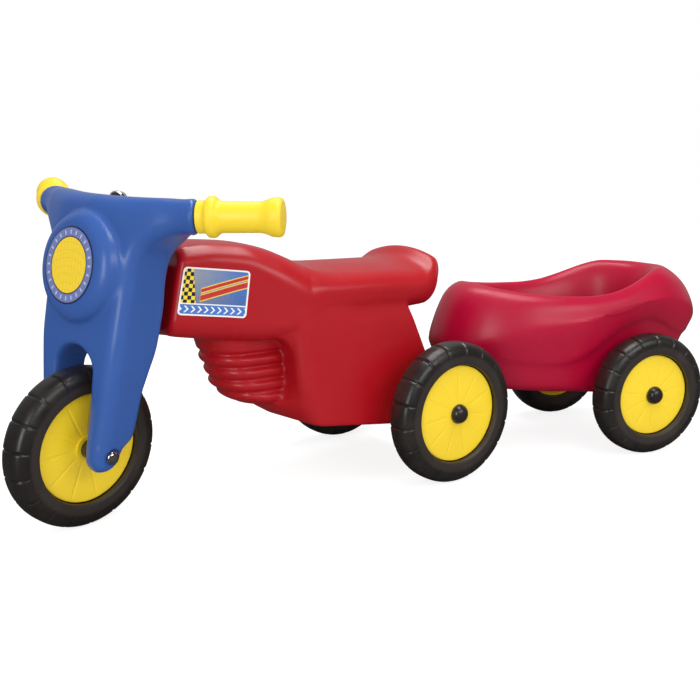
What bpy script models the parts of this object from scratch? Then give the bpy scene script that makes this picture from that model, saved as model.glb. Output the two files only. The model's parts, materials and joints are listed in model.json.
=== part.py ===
"""Toddler ride-on scooter with its trailer, built as an assembly of separate pieces.

Frame: metres, +X forward, +Y to the rider's left, +Z up.
The scooter is steered a little to the left and the trailer swings out to the left behind it.
Each moving group hangs from an empty that sits on its joint axis.
"""

import math

import bmesh
import bpy
from mathutils import Matrix, Vector

MM = 0.001
GAP = 0.3 * MM
BORE_CLEARANCE = 0.3 * MM

# Stance
WHEELBASE = 405.6 * MM
REAR_HALF_TRACK = 120.4 * MM
STEER_ANGLE = math.radians(17.1)
RAKE = math.radians(10.5)
AXLE_LEAD = 6 * MM
HITCH_BACK = 27 * MM
TRAILER_YAW = math.radians(15.1)
TRAILER_REACH = 300.5 * MM
TRAILER_HALF_TRACK = 111 * MM

# Wheels
WHEEL_SEGMENTS = 26
WHEEL_RADIUS = 85 * MM
TRAILER_WHEEL_RADIUS = 80 * MM
TYRE_WIDTH = 35 * MM
TYRE_WALL = 26.7 * MM
SIDEWALL_HEIGHT = 12 * MM
RIM_HALF_WIDTH = 10.3 * MM
HUB_RADIUS = 12 * MM
HUB_OUTER = 12.9 * MM
HUB_INNER = 15 * MM
RIM_POCKET_DEPTH = 13 * MM
RIM_WALL = 4 * MM
AXLE_RADIUS = 4 * MM
AXLE_STICKOUT = 6 * MM
HUB_CAP_RADIUS = 12 * MM
HUB_CAP_HEIGHT = 10 * MM
SPACER_RADIUS = 9 * MM

# Fork
LEG_OUTER = 53 * MM
ARCH_HALF_WIDTH = 30 * MM
ARCH_CLEARANCE = 21 * MM
PLATE_HALF_WIDTH = 66 * MM
PLATE_FRONT = 31 * MM
PLATE_REAR = 24 * MM
BEAM_HEIGHT = 243 * MM
BEAM_HALF_SPAN = 115 * MM
BEAM_SWEEP = 8.5 * MM
BEAM_END_RISE = 6 * MM
BEAM_END_RADIUS = 18 * MM
BUMP_RADIUS = 58 * MM
BUMP_FACE_RADIUS = 41 * MM
BUMP_HEIGHT = 17 * MM
POCKET_HALF_WIDTH = 42 * MM
POCKET_FRONT = 20 * MM
AXLE_CAP_RADIUS = 7.5 * MM
AXLE_CAP_HEIGHT = 5 * MM
AXLE_CAP_RECESS = 2.5 * MM
PIN_SEAT_DEPTH = 3.5 * MM
ARCH_TOP = WHEEL_RADIUS + ARCH_CLEARANCE
POCKET_BOTTOM = ARCH_TOP + 14 * MM
POCKET_TOP = BEAM_HEIGHT - 12 * MM
FORK_TOP = BEAM_HEIGHT + 16 * MM
BUMP_CENTRE = BEAM_HEIGHT - 58 * MM

# Steering joint
PIN_RADIUS = 5 * MM
PIN_CAP_RADIUS = 9 * MM
PIN_CAP_HEIGHT = 7 * MM
NECK_RADIUS = 17 * MM
BUSH_RADIUS = 8.5 * MM
BUSH_LENGTH = 18 * MM
BUSH_FLANGE_RADIUS = 13 * MM
BUSH_FLANGE = 1.4 * MM
WEB_HALF_WIDTH = 13 * MM

# Grips
GRIP_LENGTH = 83 * MM
GRIP_RADIUS = 15.3 * MM
GRIP_FLANGE_RADIUS = 19.5 * MM
GRIP_SWEEP = math.radians(31)
GRIP_RISE = math.radians(8)
SPIGOT_RADIUS = 11 * MM
SPIGOT_LENGTH = 60 * MM

# Body
SEAT_HEIGHT = 261 * MM
SEAT_HALF_WIDTH = 86 * MM
SEAT_CROWN = 5 * MM
SEAT_END_ROUND = 40 * MM
SEAT_END_DROP = 24 * MM
NOSE_ROUND = 14 * MM
NOSE_DROP = 10 * MM
TANK_SETBACK = 56 * MM
TANK_LEAN_LENGTH = 60 * MM
SKIRT_HALF_WIDTH = 79 * MM
SKIRT_BOTTOM_ROUND = 7 * MM
SKIRT_REAR_ROUND = 18 * MM
BLOCK_HALF_WIDTH = 43 * MM
RIB_DEPTH = 6 * MM
RIB_COUNT = 5

# Hitch and trailer
LUG_HALF_WIDTH = 15 * MM
LUG_BOTTOM = 66 * MM
LUG_TOP = 78 * MM
HITCH_PIN_RADIUS = 4.5 * MM
HITCH_HEAD_RADIUS = 9 * MM
HITCH_HEAD_HEIGHT = 6 * MM
EYE_RADIUS = 13 * MM
EYE_THICKNESS = 11 * MM
NOTCH_GAP = 2.5 * MM
NOTCH_HEIGHT = 24 * MM
DRAWBAR_HALF_WIDTH = 12 * MM
DRAWBAR_LENGTH = 155 * MM
BOLT_RADIUS = 3 * MM
BOLT_DEPTH = 14 * MM
BOLT_HEAD = 4 * MM
BOLT_SPACING = 40 * MM

# Trailer tub
TUB_LENGTH = 399 * MM
TUB_HALF_WIDTH = 106 * MM
TUB_HEIGHT = 241 * MM

# Labels
LABEL_THICKNESS = 0.6 * MM
LABEL_LIFT = 0.5 * MM


def smooth(keys, x):
    """Value at x of a smooth curve through the (x, value) keys, which rise in x."""
    if x <= keys[0][0]:
        return keys[0][1]
    if x >= keys[-1][0]:
        return keys[-1][1]
    steps = [(b[1] - a[1]) / (b[0] - a[0]) for a, b in zip(keys, keys[1:])]
    slopes = [0.0]
    for before, after in zip(steps, steps[1:]):
        same_way = before * after > 0
        slopes.append(2 * before * after / (before + after) if same_way else 0.0)
    slopes.append(0.0)
    index = max(i for i, key in enumerate(keys) if key[0] <= x)
    (x0, v0), (x1, v1) = keys[index], keys[index + 1]
    width = x1 - x0
    t = (x - x0) / width
    rise = v0 * (1 + 2 * t) * (1 - t) ** 2 + v1 * t * t * (3 - 2 * t)
    return rise + width * t * (1 - t) * (slopes[index] * (1 - t) - slopes[index + 1] * t)


def outline(x_unit, value_unit, *pairs):
    """Keys of a smooth curve, drawn in these units."""
    return [(x * x_unit, value * value_unit) for x, value in pairs]


# One drawn millimetre of each outline, so that outlines stretch with the main sizes
LONG = WHEELBASE / 405.6
TALL = SEAT_HEIGHT / 261
WIDE = SEAT_HALF_WIDTH / 86
FORK_TALL = BEAM_HEIGHT / 243
FORK_WIDE = PLATE_HALF_WIDTH / 66
TUB_LONG = TUB_LENGTH / 399
TUB_WIDE = TUB_HALF_WIDTH / 106
TUB_TALL = TUB_HEIGHT / 241

SEAT_END = -33 * LONG
RIB_PITCH = 15 * TALL
RIB_LOWEST = 115 * TALL

# Body outlines, as (distance forward of the rear axle, height or half width)
BODY_TOP = outline(
    LONG, TALL, (-40, 277), (-26, 279), (-16, 278), (-7, 273), (3, 266), (16, 262), (35, 261),
    (120, 262), (145, 265), (165, 272), (185, 280), (205, 286), (240, 291), (280, 293), (330, 290))
BODY_UNDERSIDE = outline(
    LONG, TALL, (-40, 214), (0, 209), (33, 208), (61, 212), (120, 214), (165, 214), (182, 205),
    (198, 190), (218, 185), (260, 188), (300, 194), (340, 202))
BODY_HALF_WIDTH = outline(
    LONG, WIDE, (-40, 80), (0, 85), (60, 86), (120, 86), (165, 84), (195, 78), (225, 67), (260, 57),
    (300, 53), (330, 48))
TOP_CORNER = outline(
    LONG, WIDE, (-40, 30), (60, 24), (190, 22), (240, 17), (330, 17))
UNDER_CORNER = outline(
    LONG, WIDE, (-40, 30), (0, 22), (60, 12), (190, 12), (230, 18), (330, 22))
BODY_STATIONS = (-33, -32, -29, -23, -13, 0, 14, 30, 50, 85, 120, 150, 175, 195, 215, 235, 260,
                 285)
NOSE_STATIONS = (14, 8, 3.5, 0.8, 0)
SKIRT_EDGE = outline(
    TALL, LONG, (63, 166), (87, 173), (140, 183), (178, 192), (205, 182), (225, 170))
FLANK_LENGTH = outline(
    TALL, LONG, (63, 6), (75, 12), (87, 24), (107, 42), (122, 28), (145, 20), (225, 20))
SKIRT_LEVELS = (63, 65, 70, 78, 88, 98, 107, 116, 130, 150, 176, 200, 224)
SKIRT_SLANT = 0.46
SKIRT_REAR_TOP = (207 * TALL, 33 * LONG)
SKIRT_FLOOR_SLOPE = 0.125
BLOCK_FRONT = outline(
    TALL, LONG, (104, 222), (115, 238), (130, 252), (145, 259), (160, 265), (175, 270), (200, 276))

# Label corners, as (distance ahead of the tank's front, height): front top, rear top, rear
# bottom, front bottom
LABEL_CORNERS = outline(
    LONG, TALL, (-8.1596, 270), (-79.1596, 262), (-73.1596, 212), (2.8404, 221))

# Fork plate as (height above the axle, half width), and the share of its full depth
FORK_WIDTH = outline(
    FORK_TALL, FORK_WIDE, (-21, 44), (-12, 50), (0, LEG_OUTER / FORK_WIDE), (60, 59), (120, 64),
    (190, 66), (205, 71), (216, 82), (228, 99), (240, 104), (252, 98))
FORK_DEPTH = outline(
    FORK_TALL, 1, (-21, 0.45), (-12, 0.62), (0, 0.72), (60, 0.86), (120, 1), (200, 1),
    (235, 0.94), (252, 0.8))
FORK_LEVELS = (-21, -16, -8, 4, 25, 55, 85, 115, 150, 190, 206, 217, 228, 240, 250)

# Trailer tub outlines, as (distance behind the trailer axle, height)
CREASE_HEIGHT = outline(
    TUB_LONG, TUB_TALL, (-262, 124), (-200, 126), (-125, 132), (-90, 149), (-50, 168), (-20, 178),
    (10, 181), (50, 173), (90, 160), (150, 146))
RIM_HEIGHT = outline(
    TUB_LONG, TUB_TALL, (-225, 225), (-190, 222), (-140, 216), (-100, 215), (-60, 218), (-20, 226),
    (20, 237), (50, 241), (80, 238), (110, 230))
BULGE_HEIGHT = outline(
    TUB_LONG, TUB_TALL, (-262, 150), (-200, 160), (-100, 178), (-40, 196), (20, 203), (80, 187),
    (156, 163))
FLOOR_HEIGHT = outline(
    TUB_LONG, TUB_TALL, (-230, 88), (-125, 81), (-50, 74), (0, 68), (60, 68), (110, 78))
TUB_SIDE_AT_AXLE = 76 * TUB_WIDE

# Rings of the tub: front reach, rear reach, half width, roundness, height curve and offset
TUB_OUTER_RINGS = (
    (-205, 74, 56, 2.6, FLOOR_HEIGHT, 0), (-222, 86, 68, 2.6, FLOOR_HEIGHT, 2),
    (-232, 93, 75, 2.6, FLOOR_HEIGHT, 10), (-249, 112, 78, 2.5, CREASE_HEIGHT, -7),
    (-256, 130, 93, 2.3, CREASE_HEIGHT, 0), (-260, 139, 106, 2.2, BULGE_HEIGHT, 0),
    (-242, 122, 105, 2.2, RIM_HEIGHT, -26), (-226, 97, 99, 2.2, RIM_HEIGHT, -8),
    (-210, 77, 91, 2.2, RIM_HEIGHT, 0))
TUB_INNER_RINGS = (
    (-201, 66, 83, 2.2, RIM_HEIGHT, -4), (-196, 56, 76, 2.3, RIM_HEIGHT, -20),
    (-190, 47, 68, 2.4, BULGE_HEIGHT, -40), (-181, 38, 58, 2.5, FLOOR_HEIGHT, 32),
    (-160, 24, 40, 2.5, FLOOR_HEIGHT, 29))
TUB_POINTS = 36


def remove_everything():
    for thing in list(bpy.data.objects):
        bpy.data.objects.remove(thing, do_unlink=True)


def make_material(name, colour, roughness, metallic=0.0):
    material = bpy.data.materials.new(name)
    material.use_nodes = True
    shader = material.node_tree.nodes["Principled BSDF"]
    shader.inputs["Base Color"].default_value = (*colour, 1.0)
    shader.inputs["Roughness"].default_value = roughness
    shader.inputs["Metallic"].default_value = metallic
    return material


def make_empty(name, parent=None, matrix=Matrix()):
    empty = bpy.data.objects.new(name, None)
    bpy.context.collection.objects.link(empty)
    empty.parent = parent
    empty.matrix_local = matrix
    return empty


def make_object(name, mesh, material, parent, sharp=35):
    """Turn a bmesh into a named object with outward faces and smooth shading."""
    bmesh.ops.recalc_face_normals(mesh, faces=mesh.faces)
    data = bpy.data.meshes.new(name)
    mesh.to_mesh(data)
    mesh.free()
    data.shade_smooth()
    data.set_sharp_from_angle(angle=math.radians(sharp))
    thing = bpy.data.objects.new(name, data)
    bpy.context.collection.objects.link(thing)
    thing.parent = parent
    thing.data.materials.append(material)
    return thing


def join_rings(rings, closed=False):
    """Skin rings of points. A ring of one point is a pole; other end rings get a flat cap."""
    mesh = bmesh.new()
    rows = [[mesh.verts.new(point) for point in ring] for ring in rings]
    pairs = list(zip(rows, rows[1:]))
    if closed:
        pairs.append((rows[-1], rows[0]))
    for lower, upper in pairs:
        count = max(len(lower), len(upper))
        for i in range(count):
            j = (i + 1) % count
            if len(lower) == 1:
                mesh.faces.new((lower[0], upper[j], upper[i]))
            elif len(upper) == 1:
                mesh.faces.new((lower[i], lower[j], upper[0]))
            else:
                mesh.faces.new((lower[i], lower[j], upper[j], upper[i]))
    if not closed:
        for row in (rows[0], rows[-1]):
            if len(row) > 1:
                mesh.faces.new(row)
    return mesh


def turned(profile, segments, axis="Y", phase=0.0):
    """Solid turned from (radius, along) points: closed round a bore, or ending on the axis."""
    rings = []
    for radius, along in profile:
        if radius == 0:
            angles = [0.0]
        else:
            angles = [2 * math.pi * (i + phase) / segments for i in range(segments)]
        ring = []
        for angle in angles:
            a, b = radius * math.cos(angle), radius * math.sin(angle)
            ring.append({"X": (along, a, b), "Y": (a, along, b), "Z": (a, b, along)}[axis])
        rings.append(ring)
    has_bore = len(profile) > 2 and profile[0][0] > 0 and profile[-1][0] > 0
    return join_rings(rings, closed=has_bore)


def rod(radius, start, end, segments=16, axis="Y"):
    return turned([(radius, start), (radius, end)], segments, axis, phase=0.3)


def tube(inner, outer, start, end, segments=14, axis="Y"):
    profile = [(inner, start), (outer, start), (outer, end), (inner, end)]
    return turned(profile, segments, axis)


def box(low, high):
    mesh = bmesh.new()
    bmesh.ops.create_cube(mesh, size=1.0)
    for vertex in mesh.verts:
        for k in range(3):
            vertex.co[k] = high[k] if vertex.co[k] > 0 else low[k]
    return mesh


def boolean(target, operation, mesh, parent=None, matrix=Matrix()):
    """Add or cut a shape, kept as a hidden guide object beside its target."""
    step = len(target.modifiers)
    guide = make_object(f"guide_{target.name}_{step}", mesh, target.data.materials[0],
                        parent or target.parent)
    guide.matrix_local = matrix
    guide.hide_render = True
    guide.display_type = "WIRE"
    modifier = target.modifiers.new(f"{operation.lower()}_{step}", "BOOLEAN")
    modifier.operation = operation
    modifier.solver = "EXACT"
    modifier.object = guide
    return guide


def place(thing, matrix):
    thing.matrix_local = matrix
    return thing


# Steering geometry, worked out from the stance
LEAN = math.asin(math.sin(STEER_ANGLE) * math.sin(RAKE))
STEER_FOOT = Vector((
    WHEELBASE - AXLE_LEAD * math.cos(STEER_ANGLE) * math.cos(RAKE),
    0.0,
    WHEEL_RADIUS - AXLE_LEAD * math.cos(STEER_ANGLE) * math.sin(RAKE)))


def steering_matrix(angle):
    """Frame with +Z along the steering axis and +X along the wheel's heading."""
    return (Matrix.Translation(STEER_FOOT) @ Matrix.Rotation(-RAKE, 4, "Y")
            @ Matrix.Rotation(angle, 4, "Z"))


def trailer_matrix():
    """Frame on the ground below the hitch pin, +X along the trailer's heading."""
    place_at = Matrix.Translation((-HITCH_BACK, 0.0, 0.0))
    return place_at @ Matrix.Rotation(-TRAILER_YAW, 4, "Z")


def rounded_outline(half_width, top, bottom, top_corner, under_corner, crown):
    """Half of a section, from the top middle round to the bottom middle."""
    points = []
    shoulder = half_width - top_corner
    for share in (0.0, 0.5):
        points.append((share * shoulder, top - crown * share * share))
    for i in range(5):
        angle = math.radians(90 - 22.5 * i)
        points.append((shoulder + top_corner * math.cos(angle),
                       top - crown - top_corner * (1 - math.sin(angle))))
    for i in range(4):
        angle = math.radians(30 * i)
        points.append((half_width - under_corner * (1 - math.cos(angle)),
                       bottom + under_corner * (1 - math.sin(angle))))
    points.append(((half_width - under_corner) * 0.5, bottom))
    points.append((0.0, bottom))
    return points


def end_inset(distance, radius):
    """How far a rounded end draws in at this distance from its tip."""
    if distance >= radius:
        return 0.0
    return radius - math.sqrt(max(radius ** 2 - (radius - distance) ** 2, 0.0))


def body_section(x):
    """Section of tank, seat and seat back at x, leaning with the fork at the front."""
    to_rear = x - SEAT_END
    to_front = TANK_FRONT - x
    inset = end_inset(to_rear, SEAT_END_ROUND) + end_inset(to_front, NOSE_ROUND)
    drop = end_inset(to_rear, SEAT_END_DROP) + end_inset(to_front, NOSE_DROP)
    half_width = smooth(BODY_HALF_WIDTH, x) - inset
    top = smooth(BODY_TOP, x) - drop
    bottom = smooth(BODY_UNDERSIDE, x) + drop
    room = 0.48 * (top - bottom)
    crown = min(SEAT_CROWN, 0.2 * room)
    half = rounded_outline(half_width, top, bottom, min(smooth(TOP_CORNER, x), room - crown),
                           min(smooth(UNDER_CORNER, x), room - crown), crown)
    lean = math.tan(RAKE) * min(max(1 - to_front / TANK_LEAN_LENGTH, 0.0), 1.0)
    points = half + [(-y, z) for y, z in reversed(half[1:-1])]
    return [(x - (z - TANK_MIDDLE) * lean, y, z) for y, z in points]


def skirt_ring(level):
    """Plan outline of the skirt at one level; its floor slopes down to the rear."""
    inset = end_inset(level - SKIRT_BOTTOM, SKIRT_BOTTOM_ROUND)
    edge = smooth(SKIRT_EDGE, level) - inset
    flank = smooth(FLANK_LENGTH, level)
    front = edge + flank + 3 * MM
    rear = SKIRT_REAR_TOP[1] - SKIRT_SLANT * (SKIRT_REAR_TOP[0] - level) + inset
    side = SKIRT_HALF_WIDTH - inset
    narrow = BLOCK_HALF_WIDTH - inset
    half = [(front, 0.0), (front, narrow * 0.8)]
    for i in range(5):
        share = i / 4
        ease = share * share * (3 - 2 * share)
        half.append((edge + flank * (1 - share), narrow + (side - narrow) * ease))
    for share in (0.33, 0.66):
        half.append((edge + (rear - edge) * share, side))
    for i in range(5):
        angle = math.radians(22.5 * i)
        half.append((rear + SKIRT_REAR_ROUND * (1 - math.sin(angle)),
                     side - SKIRT_REAR_ROUND * (1 - math.cos(angle))))
    half.append((rear, 0.0))
    fade = min(max(1 - (level - SKIRT_BOTTOM) / (60 * TALL), 0.0), 1.0)
    points = half + [(x, -y) for x, y in reversed(half[1:-1])]
    return [(x, y, level + SKIRT_FLOOR_SLOPE * x * fade) for x, y in points]


def rib_swell(level):
    """Outward swell of the engine block's ribs at this level."""
    turn = (level - RIB_LOWEST) / RIB_PITCH
    if turn < -0.5 or turn > RIB_COUNT - 0.5:
        return 0.0
    return RIB_DEPTH * math.sqrt(0.5 + 0.5 * math.cos(2 * math.pi * turn))


def block_ring(level, swell):
    front = smooth(BLOCK_FRONT, level) - RIB_DEPTH + swell
    side = BLOCK_HALF_WIDTH - RIB_DEPTH + swell
    rear = 178 * LONG
    half = [(rear, side), (front - side * 0.9, side)]
    for i in range(1, 7):
        angle = math.radians(15 * i)
        half.append((front - side * 0.9 * (1 - math.sin(angle)), side * math.cos(angle)))
    points = half + [(x, -y) for x, y in reversed(half[:-1])]
    return [(x, y, level) for x, y in points]


def block_levels():
    bottom = RIB_LOWEST - 0.6 * RIB_PITCH
    levels = [(bottom, 0.0)]
    for rib in range(RIB_COUNT):
        for share in (-0.48, -0.25, 0.0, 0.25):
            level = RIB_LOWEST + (rib + share) * RIB_PITCH
            levels.append((level, rib_swell(level)))
    levels.append((RIB_LOWEST + (RIB_COUNT - 0.4) * RIB_PITCH, 0.0))
    levels.append((RIB_LOWEST + (RIB_COUNT + 0.4) * RIB_PITCH, 0.0))
    return levels


SKIRT_BOTTOM = SKIRT_LEVELS[0] * TALL
TANK_MIDDLE = 245 * TALL
TANK_FRONT = (STEER_FOOT.x - (TANK_MIDDLE - STEER_FOOT.z) * math.tan(RAKE)
              - TANK_SETBACK / math.cos(RAKE))
NECK_BOTTOM = POCKET_BOTTOM + BUSH_FLANGE + 2 * GAP
NECK_TOP = POCKET_TOP - BUSH_FLANGE - 2 * GAP
SPACER_END = REAR_HALF_TRACK - HUB_INNER - GAP
TANK_STATIONS = [x * LONG for x in BODY_STATIONS]
TANK_STATIONS += [TANK_FRONT - back * MM for back in NOSE_STATIONS]
BEAM_MIDDLE = (PLATE_FRONT - PLATE_REAR) / 2
PIN_SEAT = FORK_TOP - PIN_SEAT_DEPTH
ARCH_SEAT = ARCH_TOP + 1 * MM
PIN_FOOT = ARCH_SEAT - 5 * MM
EYE_BOTTOM = LUG_TOP + GAP
DRAWBAR_TOP = EYE_BOTTOM + EYE_THICKNESS + GAP


def build_body(root, red):
    sections = [body_section(x) for x in TANK_STATIONS]
    body = make_object("body_shell", join_rings(sections), red, root)
    boolean(body, "UNION", join_rings([skirt_ring(z * TALL) for z in SKIRT_LEVELS]))
    boolean(body, "UNION", join_rings([block_ring(z, swell) for z, swell in block_levels()]))
    straight = steering_matrix(0.0)
    boolean(body, "UNION", rod(NECK_RADIUS, NECK_BOTTOM, NECK_TOP, 24, "Z"), matrix=straight)
    web_back = -(TANK_SETBACK + 30 * MM)
    web = box((web_back, -WEB_HALF_WIDTH, NECK_BOTTOM + 3 * MM),
              (-3 * MM, WEB_HALF_WIDTH, NECK_TOP - 30 * MM))
    boolean(body, "UNION", web, matrix=straight)
    lug_back = -HITCH_BACK
    lug = rod(LUG_HALF_WIDTH, LUG_BOTTOM, LUG_TOP, 24, "Z")
    boolean(body, "UNION", lug, matrix=Matrix.Translation((lug_back, 0, 0)))
    plate = box((lug_back, -LUG_HALF_WIDTH * 0.99, LUG_BOTTOM + 0.2 * MM),
                (30 * MM, LUG_HALF_WIDTH * 0.99, LUG_TOP - 0.2 * MM))
    boolean(body, "UNION", plate)
    notch = rod(EYE_RADIUS + NOTCH_GAP, LUG_TOP, LUG_TOP + NOTCH_HEIGHT, 24, "Z")
    boolean(body, "DIFFERENCE", notch, matrix=Matrix.Translation((lug_back, 0, 0)))
    reach = SKIRT_HALF_WIDTH + 20 * MM
    axle_bore = rod(AXLE_RADIUS + BORE_CLEARANCE, -reach, reach)
    boolean(body, "DIFFERENCE", axle_bore, matrix=Matrix.Translation((0, 0, WHEEL_RADIUS)))
    bush_bore = rod(BUSH_RADIUS + GAP, NECK_BOTTOM - 10 * MM, NECK_TOP + 10 * MM, 20, "Z")
    boolean(body, "DIFFERENCE", bush_bore, matrix=straight)
    pin_bore = rod(HITCH_PIN_RADIUS + GAP, LUG_BOTTOM - 5 * MM, LUG_TOP + 5 * MM, 16, "Z")
    boolean(body, "DIFFERENCE", pin_bore, matrix=Matrix.Translation((lug_back, 0, 0)))
    return body


def build_neck_bushes(root, black):
    for name, face, way in (("neck_bush_upper", NECK_TOP, 1), ("neck_bush_lower", NECK_BOTTOM, -1)):
        inner = PIN_RADIUS + BORE_CLEARANCE
        profile = [(inner, face + way * (GAP + BUSH_FLANGE)),
                   (BUSH_FLANGE_RADIUS, face + way * (GAP + BUSH_FLANGE)),
                   (BUSH_FLANGE_RADIUS, face + way * GAP),
                   (BUSH_RADIUS, face + way * GAP),
                   (BUSH_RADIUS, face - way * BUSH_LENGTH),
                   (inner, face - way * BUSH_LENGTH)]
        bush = make_object(name, turned(profile, 16, "Z"), black, root)
        place(bush, steering_matrix(0.0))


def build_spacer(name, parent, material, outer, start, end, matrix=Matrix()):
    spacer = make_object(name, tube(AXLE_RADIUS + BORE_CLEARANCE, outer, start, end),
                         material, parent)
    return place(spacer, matrix)


def build_axle(name, parent, steel, half_length, matrix):
    return place(make_object(name, rod(AXLE_RADIUS, -half_length, half_length), steel, parent),
                 matrix)


def tank_side(x, z):
    """Half width of the tank's flat side at this distance forward and height."""
    station = x
    for _ in range(6):
        lean = math.tan(RAKE) * min(max(1 - (TANK_FRONT - station) / TANK_LEAN_LENGTH, 0.0), 1.0)
        station = x + (z - TANK_MIDDLE) * lean
    behind, ahead = next(pair for pair in zip(TANK_STATIONS, TANK_STATIONS[1:])
                         if pair[0] <= station <= pair[1])
    share = (station - behind) / (ahead - behind)
    return smooth(BODY_HALF_WIDTH, behind) * (1 - share) + smooth(BODY_HALF_WIDTH, ahead) * share


def build_tank_labels(root, material):
    corners = [Vector((TANK_FRONT + ahead, height)) for ahead, height in LABEL_CORNERS]
    for name, side in (("tank_label_left", 1), ("tank_label_right", -1)):
        rings = []
        for i in range(7):
            top = corners[0].lerp(corners[1], i / 6)
            bottom = corners[3].lerp(corners[2], i / 6)
            ring = []
            for lift, (x, z) in ((LABEL_LIFT, bottom), (LABEL_LIFT, top),
                                 (LABEL_LIFT + LABEL_THICKNESS, top),
                                 (LABEL_LIFT + LABEL_THICKNESS, bottom)):
                ring.append((x, side * (tank_side(x, z) + lift), z))
            rings.append(ring)
        make_object(name, join_rings(rings), material, root)


def fork_ring(height, half_width, front, rear, power, count=28):
    """Plan outline of the fork plate at one height, a rounded box of the given power."""
    ring = []
    middle = (front - rear) / 2
    depth = (front + rear) / 2
    for i in range(count):
        angle = 2 * math.pi * (i + 0.5) / count
        c, s = math.cos(angle), math.sin(angle)
        ring.append((middle + depth * math.copysign(abs(c) ** (2 / power), c),
                     half_width * math.copysign(abs(s) ** (2 / power), s), height))
    return ring


def beam_ring(across, count=20):
    """Section of the crossbeam at this distance from the middle."""
    share = abs(across) / BEAM_HALF_SPAN
    depth = BEAM_END_RADIUS + (PLATE_FRONT + PLATE_REAR) * 0.5 * (1 - share ** 0.8) * 0.25
    tall = BEAM_END_RADIUS - 2 * MM * (1 - share)
    middle = BEAM_MIDDLE - BEAM_SWEEP * share ** 1.6
    height = BEAM_HEIGHT + BEAM_END_RISE * share ** 2
    end = BEAM_HALF_SPAN - abs(across)
    tight = 1 - 0.12 * max(1 - end / (3 * MM), 0.0)
    bend = min(max((share - 0.4) / 0.6, 0.0), 1.0)
    bend = math.copysign(bend * bend * (3 - 2 * bend), across)
    along = Vector((-math.sin(GRIP_SWEEP) * bend, math.cos(GRIP_SWEEP * bend),
                    math.sin(GRIP_RISE) * bend)).normalized()
    forward = along.cross(Vector((0, 0, 1))).normalized()
    upward = forward.cross(along)
    centre = Vector((middle, across, height))
    ring = []
    for i in range(count):
        angle = 2 * math.pi * i / count
        ring.append(centre + forward * (tight * depth * math.cos(angle))
                    + upward * (tight * tall * math.sin(angle)))
    return ring


def grip_matrix(side):
    """Frame at a crossbeam end with +Y out along the grip."""
    end = Vector((BEAM_MIDDLE - BEAM_SWEEP, side * BEAM_HALF_SPAN, BEAM_HEIGHT + BEAM_END_RISE))
    out = Vector((-math.sin(GRIP_SWEEP), side * math.cos(GRIP_SWEEP), math.sin(GRIP_RISE)))
    return Matrix.Translation(end) @ out.to_track_quat("Y", "Z").to_matrix().to_4x4()


def build_fork(steer, blue):
    rings = []
    for level in FORK_LEVELS:
        height = level * FORK_TALL
        share = smooth(FORK_DEPTH, height)
        lead = AXLE_LEAD * max(1 - height / (120 * FORK_TALL), 0.0)
        front = PLATE_FRONT * share + lead
        rear = PLATE_REAR * share - lead
        power = 5.0 if level < 200 else 3.2
        rings.append(fork_ring(height, smooth(FORK_WIDTH, height), front, rear, power))
    fork = make_object("fork_shell", join_rings(rings), blue, steer)
    spans = [BEAM_HALF_SPAN * share for share in (-1, -0.975, -0.85, -0.6, -0.3, 0, 0.3, 0.6,
                                                  0.85, 0.975, 1)]
    boolean(fork, "UNION", join_rings([beam_ring(across) for across in spans]))
    for side in (1, -1):
        spigot = turned([(0, -20 * MM), (SPIGOT_RADIUS, -20 * MM),
                         (SPIGOT_RADIUS, SPIGOT_LENGTH - 2 * MM),
                         (SPIGOT_RADIUS - 2 * MM, SPIGOT_LENGTH), (0, SPIGOT_LENGTH)], 16)
        boolean(fork, "UNION", spigot, matrix=grip_matrix(side))
    face = PLATE_FRONT + BUMP_HEIGHT
    bump = turned([(0, PLATE_FRONT - 12 * MM), (BUMP_RADIUS, PLATE_FRONT - 12 * MM),
                   (BUMP_RADIUS, PLATE_FRONT - 1 * MM),
                   (BUMP_RADIUS - 4 * MM, PLATE_FRONT + 7 * MM),
                   (BUMP_FACE_RADIUS + 6 * MM, face - 3 * MM), (BUMP_FACE_RADIUS, face),
                   (0, face)], 32, "X")
    boolean(fork, "UNION", bump, matrix=Matrix.Translation((0, 0, BUMP_CENTRE)))
    boolean(fork, "DIFFERENCE", arch_cutter())
    pocket = box((-60 * MM, -POCKET_HALF_WIDTH, POCKET_BOTTOM),
                 (POCKET_FRONT, POCKET_HALF_WIDTH, POCKET_TOP))
    boolean(fork, "DIFFERENCE", pocket)
    pin_bore = rod(PIN_RADIUS + BORE_CLEARANCE, ARCH_TOP - 40 * MM, FORK_TOP + 30 * MM, 16, "Z")
    boolean(fork, "DIFFERENCE", pin_bore)
    for low, high in ((PIN_SEAT, FORK_TOP + 30 * MM), (ARCH_TOP - 20 * MM, ARCH_SEAT)):
        boolean(fork, "DIFFERENCE", rod(PIN_CAP_RADIUS + 1 * MM, low, high, 20, "Z"))
    at_axle = Matrix.Translation((AXLE_LEAD, 0, 0))
    boolean(fork, "DIFFERENCE", rod(AXLE_RADIUS + BORE_CLEARANCE, -0.1, 0.1), matrix=at_axle)
    for side in (1, -1):
        recess = rod(AXLE_CAP_RADIUS + 1.5 * MM, side * (LEG_OUTER - AXLE_CAP_RECESS),
                     side * (LEG_OUTER + 30 * MM), 20)
        boolean(fork, "DIFFERENCE", recess, matrix=at_axle)
    return fork


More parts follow.
